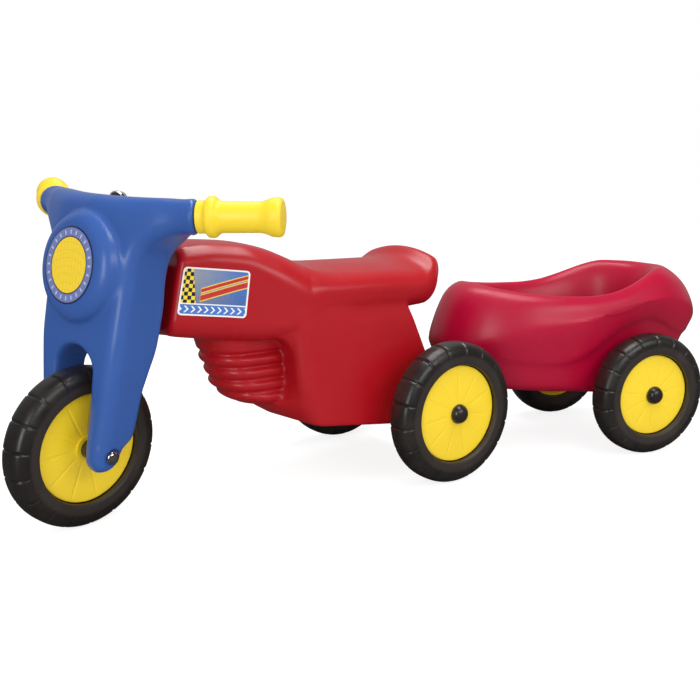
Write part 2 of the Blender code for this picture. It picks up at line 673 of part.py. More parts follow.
def arch_cutter():
    """Slot for the wheel: straight sides and a round top, right through the fork."""
    outline = [(ARCH_HALF_WIDTH, -60 * MM), (ARCH_HALF_WIDTH, ARCH_TOP - ARCH_HALF_WIDTH * 0.8)]
    for i in range(1, 8):
        angle = math.radians(22.5 * i)
        outline.append((ARCH_HALF_WIDTH * math.cos(angle),
                        ARCH_TOP - ARCH_HALF_WIDTH * 0.8 * (1 - math.sin(angle))))
    outline += [(-ARCH_HALF_WIDTH, ARCH_TOP - ARCH_HALF_WIDTH * 0.8), (-ARCH_HALF_WIDTH, -60 * MM)]
    return join_rings([[(x, y, z) for y, z in outline] for x in (-80 * MM, 80 * MM)])


def build_steering_pin(steer, steel, chrome):
    top = PIN_SEAT + 3 * MM
    make_object("steering_pin", rod(PIN_RADIUS, PIN_FOOT, top, 16, "Z"), steel, steer)
    for name, seat, way, end in (("steering_cap_top", PIN_SEAT, 1, top),
                                 ("steering_cap_bottom", ARCH_SEAT, -1, PIN_FOOT)):
        blind = end + way * GAP
        inner = PIN_RADIUS + GAP
        reach = seat + way * PIN_CAP_HEIGHT
        reach = max(reach, blind + 2 * MM) if way > 0 else min(reach, blind - 2 * MM)
        profile = [(0, reach), (PIN_CAP_RADIUS * 0.55, reach - way * 0.8 * MM),
                   (PIN_CAP_RADIUS * 0.88, reach - way * 2.8 * MM),
                   (PIN_CAP_RADIUS, seat + way * 1.6 * MM), (PIN_CAP_RADIUS, seat + way * GAP),
                   (inner, seat + way * GAP), (inner, blind), (0, blind)]
        make_object(name, turned(profile, 16, "Z"), chrome, steer)


def build_grips(steer, yellow):
    start = 1 * MM
    length = GRIP_LENGTH
    neck = GRIP_RADIUS - 1 * MM
    flange = GRIP_FLANGE_RADIUS
    bore = SPIGOT_RADIUS + GAP
    profile = [(bore, start), (neck, start), (neck, 9 * MM), (flange - 1.5 * MM, 11 * MM),
               (flange, 15 * MM), (flange - 2 * MM, 20 * MM), (GRIP_RADIUS, 23 * MM),
               (GRIP_RADIUS, length - 20 * MM), (flange - 1 * MM, length - 12 * MM),
               (flange, length - 7 * MM), (flange - 2 * MM, length - 2 * MM),
               (flange * 0.6, length), (0, length), (0, SPIGOT_LENGTH + GAP),
               (bore, SPIGOT_LENGTH + GAP)]
    for name, side in (("grip_left", 1), ("grip_right", -1)):
        place(make_object(name, turned_blind(profile, 16), yellow, steer), grip_matrix(side))


def turned_blind(profile, segments):
    """Turned solid whose profile meets the axis between an outer run and an inner blind bore."""
    split = next(i for i, point in enumerate(profile) if point[0] == 0) + 1
    return turned(list(reversed(profile[:split])) + list(reversed(profile[split:])), segments)


def build_headlight_label(steer, material):
    face = PLATE_FRONT + BUMP_HEIGHT + GAP
    radius = BUMP_FACE_RADIUS - 2.5 * MM
    label = make_object("headlight_label", rod(radius, face, face + LABEL_THICKNESS, 32, "X"),
                        material, steer)
    place(label, Matrix.Translation((0, 0, BUMP_CENTRE)))


def build_front_axle(steer, steel, chrome, black):
    at_axle = Matrix.Translation((AXLE_LEAD, 0, 0))
    seat = LEG_OUTER - AXLE_CAP_RECESS
    half_length = seat + 2.5 * MM
    build_axle("front_axle", steer, steel, half_length, at_axle)
    for name, side in (("front_axle_cap_left", 1), ("front_axle_cap_right", -1)):
        inner = AXLE_RADIUS + GAP
        top = seat + AXLE_CAP_HEIGHT
        profile = [(0, top), (AXLE_CAP_RADIUS * 0.55, top - 0.7 * MM),
                   (AXLE_CAP_RADIUS * 0.88, top - 2.1 * MM),
                   (AXLE_CAP_RADIUS, seat + 1.2 * MM), (AXLE_CAP_RADIUS, seat + GAP),
                   (inner, seat + GAP), (inner, half_length + GAP), (0, half_length + GAP)]
        cap = make_object(name, turned([(r, side * s) for r, s in profile], 14), chrome, steer)
        place(cap, at_axle)
    for name, side in (("front_spacer_left", 1), ("front_spacer_right", -1)):
        build_spacer(name, steer, black, SPACER_RADIUS, side * (HUB_INNER + GAP),
                     side * (ARCH_HALF_WIDTH - GAP), at_axle)


def flat_down(parent_matrix):
    """Turn about the axle that puts a flat of the faceted tyre against the ground."""
    down = parent_matrix.to_3x3().transposed() @ Vector((0, 0, -1))
    return math.atan2(down.x, -down.z)


def build_wheel(prefix, parent, parent_matrix, centre, side, radius, capped, materials):
    """Tyre, rim and hub cap, turned about the axle through centre; side +1 faces left."""
    black, yellow, cap_black = materials
    spin = Matrix.Rotation(-flat_down(parent_matrix), 4, "Y")
    hub = make_empty(f"{prefix}_wheel", parent, Matrix.Translation(centre) @ spin)
    round_up = 1 / math.cos(math.pi / WHEEL_SEGMENTS)
    half = TYRE_WIDTH / 2
    bore = radius - TYRE_WALL + GAP
    edge = bore + 1.5 * MM + SIDEWALL_HEIGHT
    tread = radius * round_up
    half_profile = [(bore, RIM_HALF_WIDTH + 2 * MM), (bore + 1.5 * MM, half), (edge, half),
                    (edge + (tread - edge) * 0.62, half * 0.82),
                    (edge + (tread - edge) * 0.93, half * 0.42), (tread, half * 0.12)]
    profile = half_profile + [(r, -s) for r, s in reversed(half_profile)]
    make_object(f"{prefix}_tyre", turned(profile, WHEEL_SEGMENTS), black, hub)
    outer = radius - TYRE_WALL
    inner = AXLE_RADIUS + BORE_CLEARANCE
    outer_hub = HUB_OUTER if capped else HUB_INNER
    floor = RIM_HALF_WIDTH - RIM_POCKET_DEPTH
    profile = [(inner, side * outer_hub), (HUB_RADIUS, side * outer_hub),
               (HUB_RADIUS + 3 * MM, side * (RIM_HALF_WIDTH + 1.6 * MM)),
               (outer, side * RIM_HALF_WIDTH), (outer, -side * RIM_HALF_WIDTH),
               (outer - RIM_WALL, -side * RIM_HALF_WIDTH),
               (outer - RIM_WALL - 1 * MM, -side * floor),
               (HUB_RADIUS + 1 * MM, -side * floor), (HUB_RADIUS, -side * HUB_INNER),
               (inner, -side * HUB_INNER)]
    make_object(f"{prefix}_rim", turned(profile, WHEEL_SEGMENTS), yellow, hub)
    if not capped:
        return
    seat = HUB_OUTER + GAP
    blind = HUB_OUTER + AXLE_STICKOUT + GAP
    top = seat + HUB_CAP_HEIGHT
    hole = AXLE_RADIUS + GAP
    profile = [(0, top), (HUB_CAP_RADIUS * 0.5, top - 1 * MM),
               (HUB_CAP_RADIUS * 0.85, top - 4 * MM), (HUB_CAP_RADIUS, top - 8 * MM),
               (HUB_CAP_RADIUS, seat), (hole, seat), (hole, blind), (0, blind)]
    cap = turned([(r, side * s) for r, s in profile], 14)
    make_object(f"{prefix}_hub_cap", cap, cap_black, hub)


def tub_ring(front, rear, half_width, power, heights, offset):
    ring = []
    middle = (front + rear) / 2 * TUB_LONG
    reach = (rear - front) / 2 * TUB_LONG
    for i in range(TUB_POINTS):
        angle = 2 * math.pi * i / TUB_POINTS
        c, s = math.cos(angle), math.sin(angle)
        behind = middle + reach * math.copysign(abs(c) ** (2 / power), c)
        across = half_width * TUB_WIDE * math.copysign(abs(s) ** (2 / power), s)
        height = smooth(heights, behind) + offset * TUB_TALL
        ring.append((-TRAILER_REACH - behind, across, height))
    return ring


def build_tub(trailer, crimson):
    foot, well = -60 * TUB_LONG, -68 * TUB_LONG
    under = [(-TRAILER_REACH - foot, 0.0, smooth(FLOOR_HEIGHT, foot))]
    floor = [(-TRAILER_REACH - well, 0.0, smooth(FLOOR_HEIGHT, well) + 27 * TUB_TALL)]
    rings = [under] + [tub_ring(*ring) for ring in TUB_OUTER_RINGS + TUB_INNER_RINGS] + [floor]
    tub = make_object("trailer_tub", join_rings(rings), crimson, trailer)
    at_axle = Matrix.Translation((-TRAILER_REACH, 0, TRAILER_WHEEL_RADIUS))
    boolean(tub, "DIFFERENCE", rod(AXLE_RADIUS + BORE_CLEARANCE, -0.12, 0.12), matrix=at_axle)
    for x in bolt_places():
        hole = rod(BOLT_RADIUS + GAP, DRAWBAR_TOP - 10 * MM, DRAWBAR_TOP + BOLT_DEPTH, 12, "Z")
        boolean(tub, "DIFFERENCE", hole, matrix=Matrix.Translation((x, 0, 0)))
    seat = box((-DRAWBAR_LENGTH - 5 * MM, -DRAWBAR_HALF_WIDTH - GAP, DRAWBAR_TOP - 40 * MM),
               (-20 * MM, DRAWBAR_HALF_WIDTH + GAP, DRAWBAR_TOP))
    boolean(tub, "DIFFERENCE", seat)
    return tub


def bolt_places():
    last = -DRAWBAR_LENGTH + 15 * MM
    return (last, last + BOLT_SPACING)


def build_drawbar(trailer, material, steel):
    top = EYE_BOTTOM + EYE_THICKNESS
    bar = make_object("drawbar", rod(EYE_RADIUS, EYE_BOTTOM, top, 24, "Z"), material, trailer)
    arm = box((-DRAWBAR_LENGTH, -DRAWBAR_HALF_WIDTH, EYE_BOTTOM + 0.2 * MM),
              (-2 * MM, DRAWBAR_HALF_WIDTH, top - 0.01 * MM))
    boolean(bar, "UNION", arm)
    hole = rod(HITCH_PIN_RADIUS + 1.2 * MM, EYE_BOTTOM - 5 * MM, top + 5 * MM, 16, "Z")
    boolean(bar, "DIFFERENCE", hole)
    bolts = None
    for x in bolt_places():
        hole = rod(BOLT_RADIUS + GAP, EYE_BOTTOM - 5 * MM, top + 5 * MM, 12, "Z")
        boolean(bar, "DIFFERENCE", hole, matrix=Matrix.Translation((x, 0, 0)))
    for number, x in enumerate(bolt_places(), start=1):
        head = EYE_BOTTOM - GAP
        tip = DRAWBAR_TOP + BOLT_DEPTH - 1 * MM
        profile = [(0, head - BOLT_HEAD), (BOLT_RADIUS * 2, head - BOLT_HEAD),
                   (BOLT_RADIUS * 2, head), (BOLT_RADIUS, head), (BOLT_RADIUS, tip), (0, tip)]
        bolt = make_object(f"drawbar_bolt_{number}", turned(profile, 12, "Z"), steel, trailer)
        place(bolt, Matrix.Translation((x, 0, 0)))
    return bar


def build_hitch_pin(root, steel):
    top = EYE_BOTTOM + EYE_THICKNESS + GAP
    foot = LUG_BOTTOM - 3 * MM
    profile = [(0, foot), (HITCH_PIN_RADIUS, foot), (HITCH_PIN_RADIUS, top),
               (HITCH_HEAD_RADIUS, top), (HITCH_HEAD_RADIUS, top + HITCH_HEAD_HEIGHT - 2 * MM),
               (HITCH_HEAD_RADIUS - 2 * MM, top + HITCH_HEAD_HEIGHT),
               (0, top + HITCH_HEAD_HEIGHT)]
    pin = make_object("hitch_pin", turned(profile, 16, "Z"), steel, root)
    place(pin, Matrix.Translation((-HITCH_BACK, 0, 0)))


def stand_on_origin(root):
    """Move the whole object so that the middle of its footprint box is the origin."""
    bpy.context.view_layer.update()
    graph = bpy.context.evaluated_depsgraph_get()
    corners = []
    for thing in bpy.data.objects:
        if thing.type == "MESH" and not thing.hide_render:
            solid = thing.evaluated_get(graph)
            corners += [thing.matrix_world @ vertex.co for vertex in solid.data.vertices]
    low = [min(corner[k] for corner in corners) for k in range(3)]
    high = [max(corner[k] for corner in corners) for k in range(3)]
    root.location = (-(low[0] + high[0]) / 2, -(low[1] + high[1]) / 2, -low[2])
    bpy.context.view_layer.update()


def build():
    remove_everything()
    red = make_material("red_plastic", (0.42, 0.006, 0.012), 0.35)
    crimson = make_material("crimson_plastic", (0.45, 0.0, 0.03), 0.35)
    blue = make_material("blue_plastic", (0.03, 0.11, 0.40), 0.35)
    yellow = make_material("yellow_plastic", (0.91, 0.66, 0.03), 0.35)
    rubber = make_material("black_tyre", (0.035, 0.026, 0.022), 0.5)
    black = make_material("black_plastic", (0.02, 0.02, 0.02), 0.35)
    steel = make_material("steel", (0.55, 0.55, 0.56), 0.3, 1.0)
    chrome = make_material("chrome", (0.8, 0.8, 0.8), 0.1, 1.0)
    label = make_material("printed_label", (0.25, 0.35, 0.62), 0.3)

    root = make_empty("scooter")
    steer = make_empty("steering", root, steering_matrix(STEER_ANGLE))
    trailer = make_empty("trailer", root, trailer_matrix())

    build_body(root, red)
    build_neck_bushes(root, black)
    build_tank_labels(root, label)
    build_hitch_pin(root, steel)
    at_rear = Matrix.Translation((0, 0, WHEEL_RADIUS))
    half_length = REAR_HALF_TRACK + HUB_OUTER + AXLE_STICKOUT
    build_axle("rear_axle", root, steel, half_length, at_rear)
    for name, side in (("rear_spacer_left", 1), ("rear_spacer_right", -1)):
        build_spacer(name, root, black, SPACER_RADIUS, side * (SKIRT_HALF_WIDTH + GAP),
                     side * SPACER_END, at_rear)

    build_fork(steer, blue)
    build_steering_pin(steer, steel, chrome)
    build_grips(steer, yellow)
    build_headlight_label(steer, label)
    build_front_axle(steer, steel, chrome, black)
    wheel_materials = (rubber, yellow, black)
    build_wheel("front", steer, steering_matrix(STEER_ANGLE), (AXLE_LEAD, 0, 0), 1,
                WHEEL_RADIUS, False, wheel_materials)
    for prefix, side in (("rear_left", 1), ("rear_right", -1)):
        build_wheel(prefix, root, Matrix(), (0, side * REAR_HALF_TRACK, WHEEL_RADIUS), side,
                    WHEEL_RADIUS, True, wheel_materials)

    build_tub(trailer, crimson)
    build_drawbar(trailer, crimson, steel)
    at_axle = Matrix.Translation((-TRAILER_REACH, 0, TRAILER_WHEEL_RADIUS))
    half_length = TRAILER_HALF_TRACK + HUB_OUTER + AXLE_STICKOUT
    build_axle("trailer_axle", trailer, steel, half_length, at_axle)
    for name, side in (("trailer_spacer_left", 1), ("trailer_spacer_right", -1)):
        build_spacer(name, trailer, black, SPACER_RADIUS, side * TUB_SIDE_AT_AXLE,
                     side * (TRAILER_HALF_TRACK - HUB_INNER - GAP), at_axle)
    for prefix, side in (("trailer_left", 1), ("trailer_right", -1)):
        centre = (-TRAILER_REACH, side * TRAILER_HALF_TRACK, TRAILER_WHEEL_RADIUS)
        build_wheel(prefix, trailer, trailer_matrix(), centre, side, TRAILER_WHEEL_RADIUS, True,
                    wheel_materials)
    stand_on_origin(root)


build()
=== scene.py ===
# %% [markdown]
# # A toddler's ride-on scooter with its little trailer
# The real object is blow moulded and injection moulded plastic: a red body, a blue fork with
# yellow grips, black tyres on yellow discs, and a crimson tub that is towed behind. The packed
# solids carry the sizes and the joints. This script gives each of them its true skin: soft
# rounded shells, turned wheels, printed labels and worn-in plastic.

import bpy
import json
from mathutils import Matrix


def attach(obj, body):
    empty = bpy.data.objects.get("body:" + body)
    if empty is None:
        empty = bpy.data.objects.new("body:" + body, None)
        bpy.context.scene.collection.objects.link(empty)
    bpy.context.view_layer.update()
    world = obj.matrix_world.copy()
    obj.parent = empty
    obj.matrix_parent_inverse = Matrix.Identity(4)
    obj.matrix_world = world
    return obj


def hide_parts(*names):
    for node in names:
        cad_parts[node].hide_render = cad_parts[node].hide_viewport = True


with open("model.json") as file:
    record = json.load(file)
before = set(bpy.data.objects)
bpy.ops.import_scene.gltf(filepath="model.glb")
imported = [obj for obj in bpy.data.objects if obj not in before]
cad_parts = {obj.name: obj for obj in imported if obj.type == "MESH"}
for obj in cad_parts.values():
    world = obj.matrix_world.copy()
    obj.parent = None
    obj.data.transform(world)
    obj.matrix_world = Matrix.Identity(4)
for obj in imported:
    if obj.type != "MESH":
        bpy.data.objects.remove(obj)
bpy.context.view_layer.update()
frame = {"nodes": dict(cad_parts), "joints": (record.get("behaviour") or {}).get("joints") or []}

# %% Tools for the whole script
import json
import math

import bmesh
import bpy
import numpy as np
from mathutils import Matrix, Vector

MM = 0.001
UP = Vector((0, 0, 1))
print("made with Blender", bpy.app.version_string)

# %% [markdown]
# ## Frames to work in
# Every piece is drawn in millimetres in the frame of what carries it: the body stands on its
# rear axle, the fork on its steering axis, the trailer on its hitch. The places and directions
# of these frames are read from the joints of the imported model, so nothing is typed twice.

# %% Frames of the body, the fork, the trailer and the wheels
joints = {joint["name"]: joint for joint in frame["joints"]}


def pivot(name):
    return Vector(joints[name]["pos_m"])


def axis_of(name):
    return Vector(joints[name]["axis"]).normalized()


def frame_matrix(origin, *axes):
    """World matrix of a frame that is drawn in millimetres along these three axes."""
    turned = Matrix([[axis[row] * MM for axis in axes] for row in range(3)])
    return Matrix.Translation(origin) @ turned.to_4x4()


def axle_frame(name, side):
    """Frame of a wheel: Y along the axle, out of the side that is seen from its own side."""
    out = axis_of(name) * side
    ahead = out.cross(UP).normalized()
    return frame_matrix(pivot(name), ahead, out, ahead.cross(out))


stand = (pivot("rear_left_wheel_spin") + pivot("rear_right_wheel_spin")) / 2
stand.z = 0.0
BODY = Matrix.Translation(stand) @ Matrix.Scale(MM, 4)
steer_up = axis_of("steering")
steer_ahead = axis_of("front_wheel_spin").cross(steer_up)
FORK = frame_matrix(pivot("steering"), steer_ahead.normalized(),
                    steer_up.cross(steer_ahead).normalized(), steer_up)
trailer_across = axis_of("trailer_left_wheel_spin")
hitch = pivot("trailer_swing")
TRAILER = frame_matrix((hitch.x, hitch.y, 0.0), trailer_across.cross(UP), trailer_across, UP)
print("fork frame at", [round(v, 4) for v in FORK.translation])
print("trailer frame at", [round(v, 4) for v in TRAILER.translation])

# %% [markdown]
# ## Finishes
# Moulded plastic is never one flat colour. It has a fine orange-peel skin, a slow drift of tone
# where the wall is thicker, and small rubbed places. Each of these is a shader node group with
# named sockets, built once and used by every plastic on the scooter with its own values. The
# roughness of the plastics stays above 0.275: below that, Cycles' denoiser takes a gloss for a
# mirror, and leaves dark specks wherever the roughness wanders across that line.


# %% Short ways to wire a node tree
class Wiring:
    """Adds nodes to one node tree and joins them."""

    def __init__(self, tree):
        self.tree = tree

    def node(self, kind, **settings):
        made = self.tree.nodes.new(kind)
        for key, value in settings.items():
            setattr(made, key, value)
        return made

    def feed(self, socket, value):
        """Join a socket to another one, or give it a plain value."""
        if isinstance(value, bpy.types.NodeSocket):
            self.tree.links.new(value, socket)
        else:
            socket.default_value = value

    def result(self, output, kind, values, **settings):
        """Output of a new node whose sockets are fed with these values."""
        made = self.node(kind, **settings)
        for key, value in values.items():
            self.feed(made.inputs[key], value)
        return made.outputs[output]

    def place(self):
        return self.node("ShaderNodeTexCoord").outputs["Object"]

    def maths(self, operation, *values, clamp=False):
        return self.result(0, "ShaderNodeMath", dict(enumerate(values)), operation=operation,
                           use_clamp=clamp)

    def times(self, a, b):
        return self.maths("MULTIPLY", a, b)

    def plus(self, a, b):
        return self.maths("ADD", a, b)

    def less(self, a, b):
        return self.maths("SUBTRACT", a, b)

    def apart(self, a, b):
        return self.maths("ABSOLUTE", self.less(a, b))

    def length(self, a, b):
        return self.maths("SQRT", self.plus(self.times(a, a), self.times(b, b)))

    def noise(self, vector, scale, detail=2.0, rough=0.5):
        return self.result("Fac", "ShaderNodeTexNoise", {
            "Vector": vector, "Scale": scale, "Detail": detail, "Roughness": rough})

    def span(self, value, low, high, to_low=0.0, to_high=1.0, smooth=False):
        """Value moved from the range low to high into the range to_low to to_high."""
        return self.result("Result", "ShaderNodeMapRange", {
            "Value": value, "From Min": low, "From Max": high, "To Min": to_low,
            "To Max": to_high}, interpolation_type="SMOOTHSTEP" if smooth else "LINEAR")

    def mix(self, share, first, second):
        return self.result(2, "ShaderNodeMix", {"Factor": share, 6: first, 7: second},
                           data_type="RGBA")

    def bump(self, height, strength, distance):
        return self.result("Normal", "ShaderNodeBump", {
            "Height": height, "Strength": strength, "Distance": distance})


print("wiring tools ready")

# %% A helper that starts a node group
SOCKET_KINDS = {1: "NodeSocketFloat", 3: "NodeSocketVector", 4: "NodeSocketColor"}
SKIN_RESULTS = {"Colour": 4, "Roughness": 1, "Normal": 3}
GREY = (0.5, 0.5, 0.5, 1)


def start_group(name, inputs, results):
    """Shader node group with these inputs and their usual values, and results by their size."""
    group = bpy.data.node_groups.new(name, "ShaderNodeTree")
    for label, value in inputs.items():
        kind = SOCKET_KINDS[np.size(value)]
        socket = group.interface.new_socket(name=label, in_out="INPUT", socket_type=kind)
        socket.default_value = value
    for label, size in results.items():
        group.interface.new_socket(name=label, in_out="OUTPUT", socket_type=SOCKET_KINDS[size])
    start, end = group.nodes.new("NodeGroupInput"), group.nodes.new("NodeGroupOutput")
    return Wiring(group), start.outputs, end.inputs


print("kinds of socket:", list(SOCKET_KINDS.values()))


# %% The skin of moulded plastic as one node group
def moulded_skin_group():
    """Orange peel, slow tone drift and rubbed places of a moulded plastic."""
    w, given, results = start_group("moulded_skin", {
        "Colour": GREY, "Deep Colour": GREY, "Drift": 0.5, "Roughness": 0.3, "Rubbing": 0.1,
        "Peel Size": 700.0, "Peel Depth": 0.1}, SKIN_RESULTS)
    place = w.place()
    tone = w.span(w.noise(place, 14.0, 3.0, 0.55), 0.3, 0.7)
    drift = w.maths("MULTIPLY", tone, given["Drift"], clamp=True)
    w.feed(results["Colour"], w.mix(drift, given["Colour"], given["Deep Colour"]))
    cloudy = w.span(w.noise(place, 38.0, 5.0, 0.6), 0.35, 0.75)
    streaks = w.result(0, "ShaderNodeMapping", {"Vector": place, "Scale": (60.0, 420.0, 420.0)})
    scuffs = w.span(w.noise(streaks, 1.0), 0.35, 0.75)
    worn = w.plus(w.times(cloudy, 0.6), w.times(scuffs, 0.3))
    w.feed(results["Roughness"], w.maths("ADD", given["Roughness"],
                                         w.times(worn, given["Rubbing"]), clamp=True))
    waves = w.times(w.noise(place, 60.0, 1.0), 2.0)
    height = w.plus(w.noise(place, given["Peel Size"]), waves)
    w.feed(results["Normal"], w.bump(height, given["Peel Depth"], 0.0004))
    return w.tree


MOULDED_SKIN = moulded_skin_group()
print("node group", MOULDED_SKIN.name, "with", len(MOULDED_SKIN.nodes), "nodes")


def new_material(name, values):
    """Material with its wiring and its Principled shader's sockets, set to these values."""
    material = bpy.data.materials.new(name)
    material.use_nodes = True
    w = Wiring(material.node_tree)
    sockets = w.tree.nodes["Principled BSDF"].inputs
    for label, value in values.items():
        w.feed(sockets[label], value)
    return material, w, sockets


def wear(w, sockets, group, values):
    """Put a node group into a material and join its results to the shader."""
    skin = w.node("ShaderNodeGroup", node_tree=group)
    for label, value in values.items():
        w.feed(skin.inputs[label], value)
    for label, result in zip(("Base Color", "Roughness", "Normal"), skin.outputs):
        w.feed(sockets[label], result)


def moulded_plastic(slot, colour, deep, roughness, rubbing, gloss):
    material, w, sockets = new_material(slot + "_skin",
                                        {"IOR": 1.5, "Specular IOR Level": gloss})
    wear(w, sockets, MOULDED_SKIN, {
        "Colour": (*colour, 1), "Deep Colour": (*deep, 1), "Drift": 0.5,
        "Roughness": roughness, "Rubbing": rubbing, "Peel Depth": 0.03})
    return material


RED, CRIMSON, BLUE, YELLOW, BLACK = [moulded_plastic(*values) for values in (
    ("red_plastic", (0.395, 0.0036, 0.0095), (0.355, 0.0028, 0.0075), 0.28, 0.09, 0.5),
    ("crimson_plastic", (0.410, 0.0010, 0.0290), (0.370, 0.0008, 0.0245), 0.30, 0.1, 0.4),
    ("blue_plastic", (0.032, 0.096, 0.342), (0.028, 0.084, 0.303), 0.28, 0.06, 0.5),
    ("yellow_plastic", (0.880, 0.630, 0.022), (0.840, 0.575, 0.016), 0.34, 0.1, 0.5),
    ("black_plastic", (0.016, 0.012, 0.011), (0.024, 0.019, 0.017), 0.28, 0.04, 0.8))]

# %% [markdown]
# ## Tyre rubber
# The tyres are black with a warm cast, satin on the tread and duller and browner on the flat
# ring beside the disc, where dust sits. A mask by the distance from the axle could paint the
# ring, but the mesh itself already knows where that ring is, so each tyre stores a point
# attribute named ring that the material reads.


# %% Rubber as a node group and a material
def tyre_rubber_group():
    w, given, results = start_group("tyre_rubber", {
        "Tread Colour": GREY, "Ring Colour": GREY, "Dust Colour": GREY, "Ring": 0.0,
        "Dust": 0.15, "Roughness": 0.4, "Grain": 0.3}, SKIN_RESULTS)
    place = w.place()
    base = w.mix(given["Ring"], given["Tread Colour"], given["Ring Colour"])
    patches = w.span(w.noise(place, 26.0, 5.0, 0.62), 0.42, 0.72, smooth=True)
    specks = w.span(w.noise(place, 420.0, 3.0, 0.7), 0.5, 0.8)
    dusty = w.maths("MULTIPLY", w.plus(w.times(patches, 0.7), w.times(specks, 0.3)),
                    given["Dust"], clamp=True)
    w.feed(results["Colour"], w.mix(dusty, base, given["Dust Colour"]))
    dull = w.plus(w.times(given["Ring"], 0.12), w.times(patches, 0.12))
    w.feed(results["Roughness"], w.maths("ADD", given["Roughness"], dull, clamp=True))
    grain = w.plus(w.noise(place, 900.0, 3.0, 0.6), w.times(w.noise(place, 120.0), 1.5))
    w.feed(results["Normal"], w.bump(grain, given["Grain"], 0.0005))
    return w.tree


TYRE, wiring, sockets = new_material("tyre_rubber_skin",
                                     {"Specular IOR Level": 0.8})
ring_mask = wiring.node("ShaderNodeAttribute", attribute_name="ring").outputs["Fac"]
wear(wiring, sockets, tyre_rubber_group(), {
    "Tread Colour": (0.0120, 0.0095, 0.0082, 1), "Ring Colour": (0.0290, 0.0210, 0.0160, 1),
    "Dust Colour": (0.090, 0.070, 0.056, 1), "Ring": ring_mask, "Dust": 0.16,
    "Roughness": 0.34, "Grain": 0.12})
print("rubber:", TYRE.name)

# %% [markdown]
# ## Metals
# The caps are chromed and the axles are drawn steel. Both carry fine marks that darken and
# roughen the metal a little, so one group makes the marks and each metal gives it their size.


# %% Marks on metal as a node group, and two metals
def metal_marks_group():
    w, given, results = start_group("metal_marks", {
        "Colour": GREY, "Marked Colour": GREY, "Smooth": 0.1, "Rough": 0.3,
        "Marks Size": 500.0, "Marks Depth": 0.1}, SKIN_RESULTS)
    marks = w.noise(w.place(), given["Marks Size"], 4.0, 0.6)
    w.feed(results["Colour"], w.mix(w.span(marks, 0.35, 0.7), given["Colour"],
                                    given["Marked Colour"]))
    w.feed(results["Roughness"], w.span(marks, 0.3, 0.75, given["Smooth"], given["Rough"]))
    w.feed(results["Normal"], w.bump(marks, given["Marks Depth"], 0.0002))
    return w.tree


METAL_MARKS = metal_marks_group()


def metal(name, colour, roughness, size, depth):
    material, w, sockets = new_material(name, {"Metallic": 1.0})
    wear(w, sockets, METAL_MARKS, {
        "Colour": (*colour, 1), "Marked Colour": (*[part * 0.86 for part in colour], 1),
        "Smooth": roughness * 0.7, "Rough": roughness * 1.4, "Marks Size": size,
        "Marks Depth": depth})
    return material


STEEL = metal("drawn_steel_skin", (0.56, 0.55, 0.54), 0.28, 500.0, 0.2)
CHROME = metal("chrome_skin", (0.80, 0.78, 0.76), 0.09, 240.0, 0.05)
print("metals:", STEEL.name, CHROME.name)

# %% [markdown]
# ## Turning numbers into meshes
# Three ways of making a mesh cover the whole scooter. Turned pieces such as wheels and grips
# are a profile swept round an axis. The tub is a stack of rings skinned together. The body and
# the fork are blow moulded, with fillets everywhere, so they are written as a distance field
# and skinned: fields melt into each other the way plastic does in a mould.


# %% From points to an object that rides on its body
def new_object(name, data):
    made = bpy.data.objects.new(name, data)
    bpy.context.scene.collection.objects.link(made)
    return made


def add_piece(name, points, faces, matrix, material, body, nodes, crease=None):
    """Object from drawn points, placed by its frame, riding on a body in place of nodes."""
    mesh = bpy.data.meshes.new(name)
    moved = np.c_[points, np.ones(len(points))] @ np.array(matrix).T
    mesh.from_pydata(moved[:, :3].tolist(), [], [list(map(int, face)) for face in faces])
    mesh.validate()
    mesh.update()
    mesh.shade_smooth()
    if crease:
        mesh.set_sharp_from_angle(angle=math.radians(crease))
    mesh.materials.append(material)
    piece = new_object(name, mesh)
    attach(piece, body)
    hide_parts(*nodes)
    return piece


def outward(piece):
    """Make every face look out of its piece."""
    work = bmesh.new()
    work.from_mesh(piece.data)
    bmesh.ops.recalc_face_normals(work, faces=work.faces)
    work.to_mesh(piece.data)
    work.free()
    return piece


# %% Smooth curves through drawn keys
def drawn_curve(keys, soften=0.0, step=0.25):
    """Function for the smooth curve through (x, value) keys, softened over some millimetres."""
    x, value = np.array(keys, float).T
    slope = np.diff(value) / np.diff(x)
    tangent = np.zeros(len(x))
    both = slope[:-1] * slope[1:]
    safe = np.where(both > 0, slope[:-1] + slope[1:], 1.0)
    tangent[1:-1] = np.where(both > 0, 2 * both / safe, 0.0)
    places = np.arange(x[0], x[-1] + step, step)
    index = np.clip(np.searchsorted(x, places, "right") - 1, 0, len(x) - 2)
    width = x[index + 1] - x[index]
    t = np.clip((places - x[index]) / width, 0, 1)
    out = value[index] * (1 + 2 * t) * (1 - t) ** 2 + value[index + 1] * t * t * (3 - 2 * t)
    out += width * t * (1 - t) * (tangent[index] * (1 - t) - tangent[index + 1] * t)
    if soften:
        reach = int(3 * soften / step)
        weights = np.exp(-0.5 * (np.arange(-reach, reach + 1) * step / soften) ** 2)
        out = np.convolve(np.pad(out, reach, mode="edge"), weights / weights.sum(), "valid")
    return lambda at: np.interp(at, places, out)


print("halfway from 0 to 5:", drawn_curve(((0, 0), (10, 5)))(5))


# %% Ways to join, cut and round fields
def join_soft(a, b, blend):
    """Union of two fields with a fillet that is about as wide as blend."""
    h = np.maximum(blend - np.abs(a - b), 0.0) / blend
    return np.minimum(a, b) - h * h * blend * 0.25


def cut_soft(a, b, blend):
    """Field a without field b, with the edge between them softened."""
    return -join_soft(-a, b, blend)


def round_edge(a, b, radius):
    """Part inside both fields, with a round edge of this radius where they meet."""
    u, v = np.maximum(a + radius, 0.0), np.maximum(b + radius, 0.0)
    return np.minimum(np.maximum(a, b), -radius) + np.sqrt(u * u + v * v)


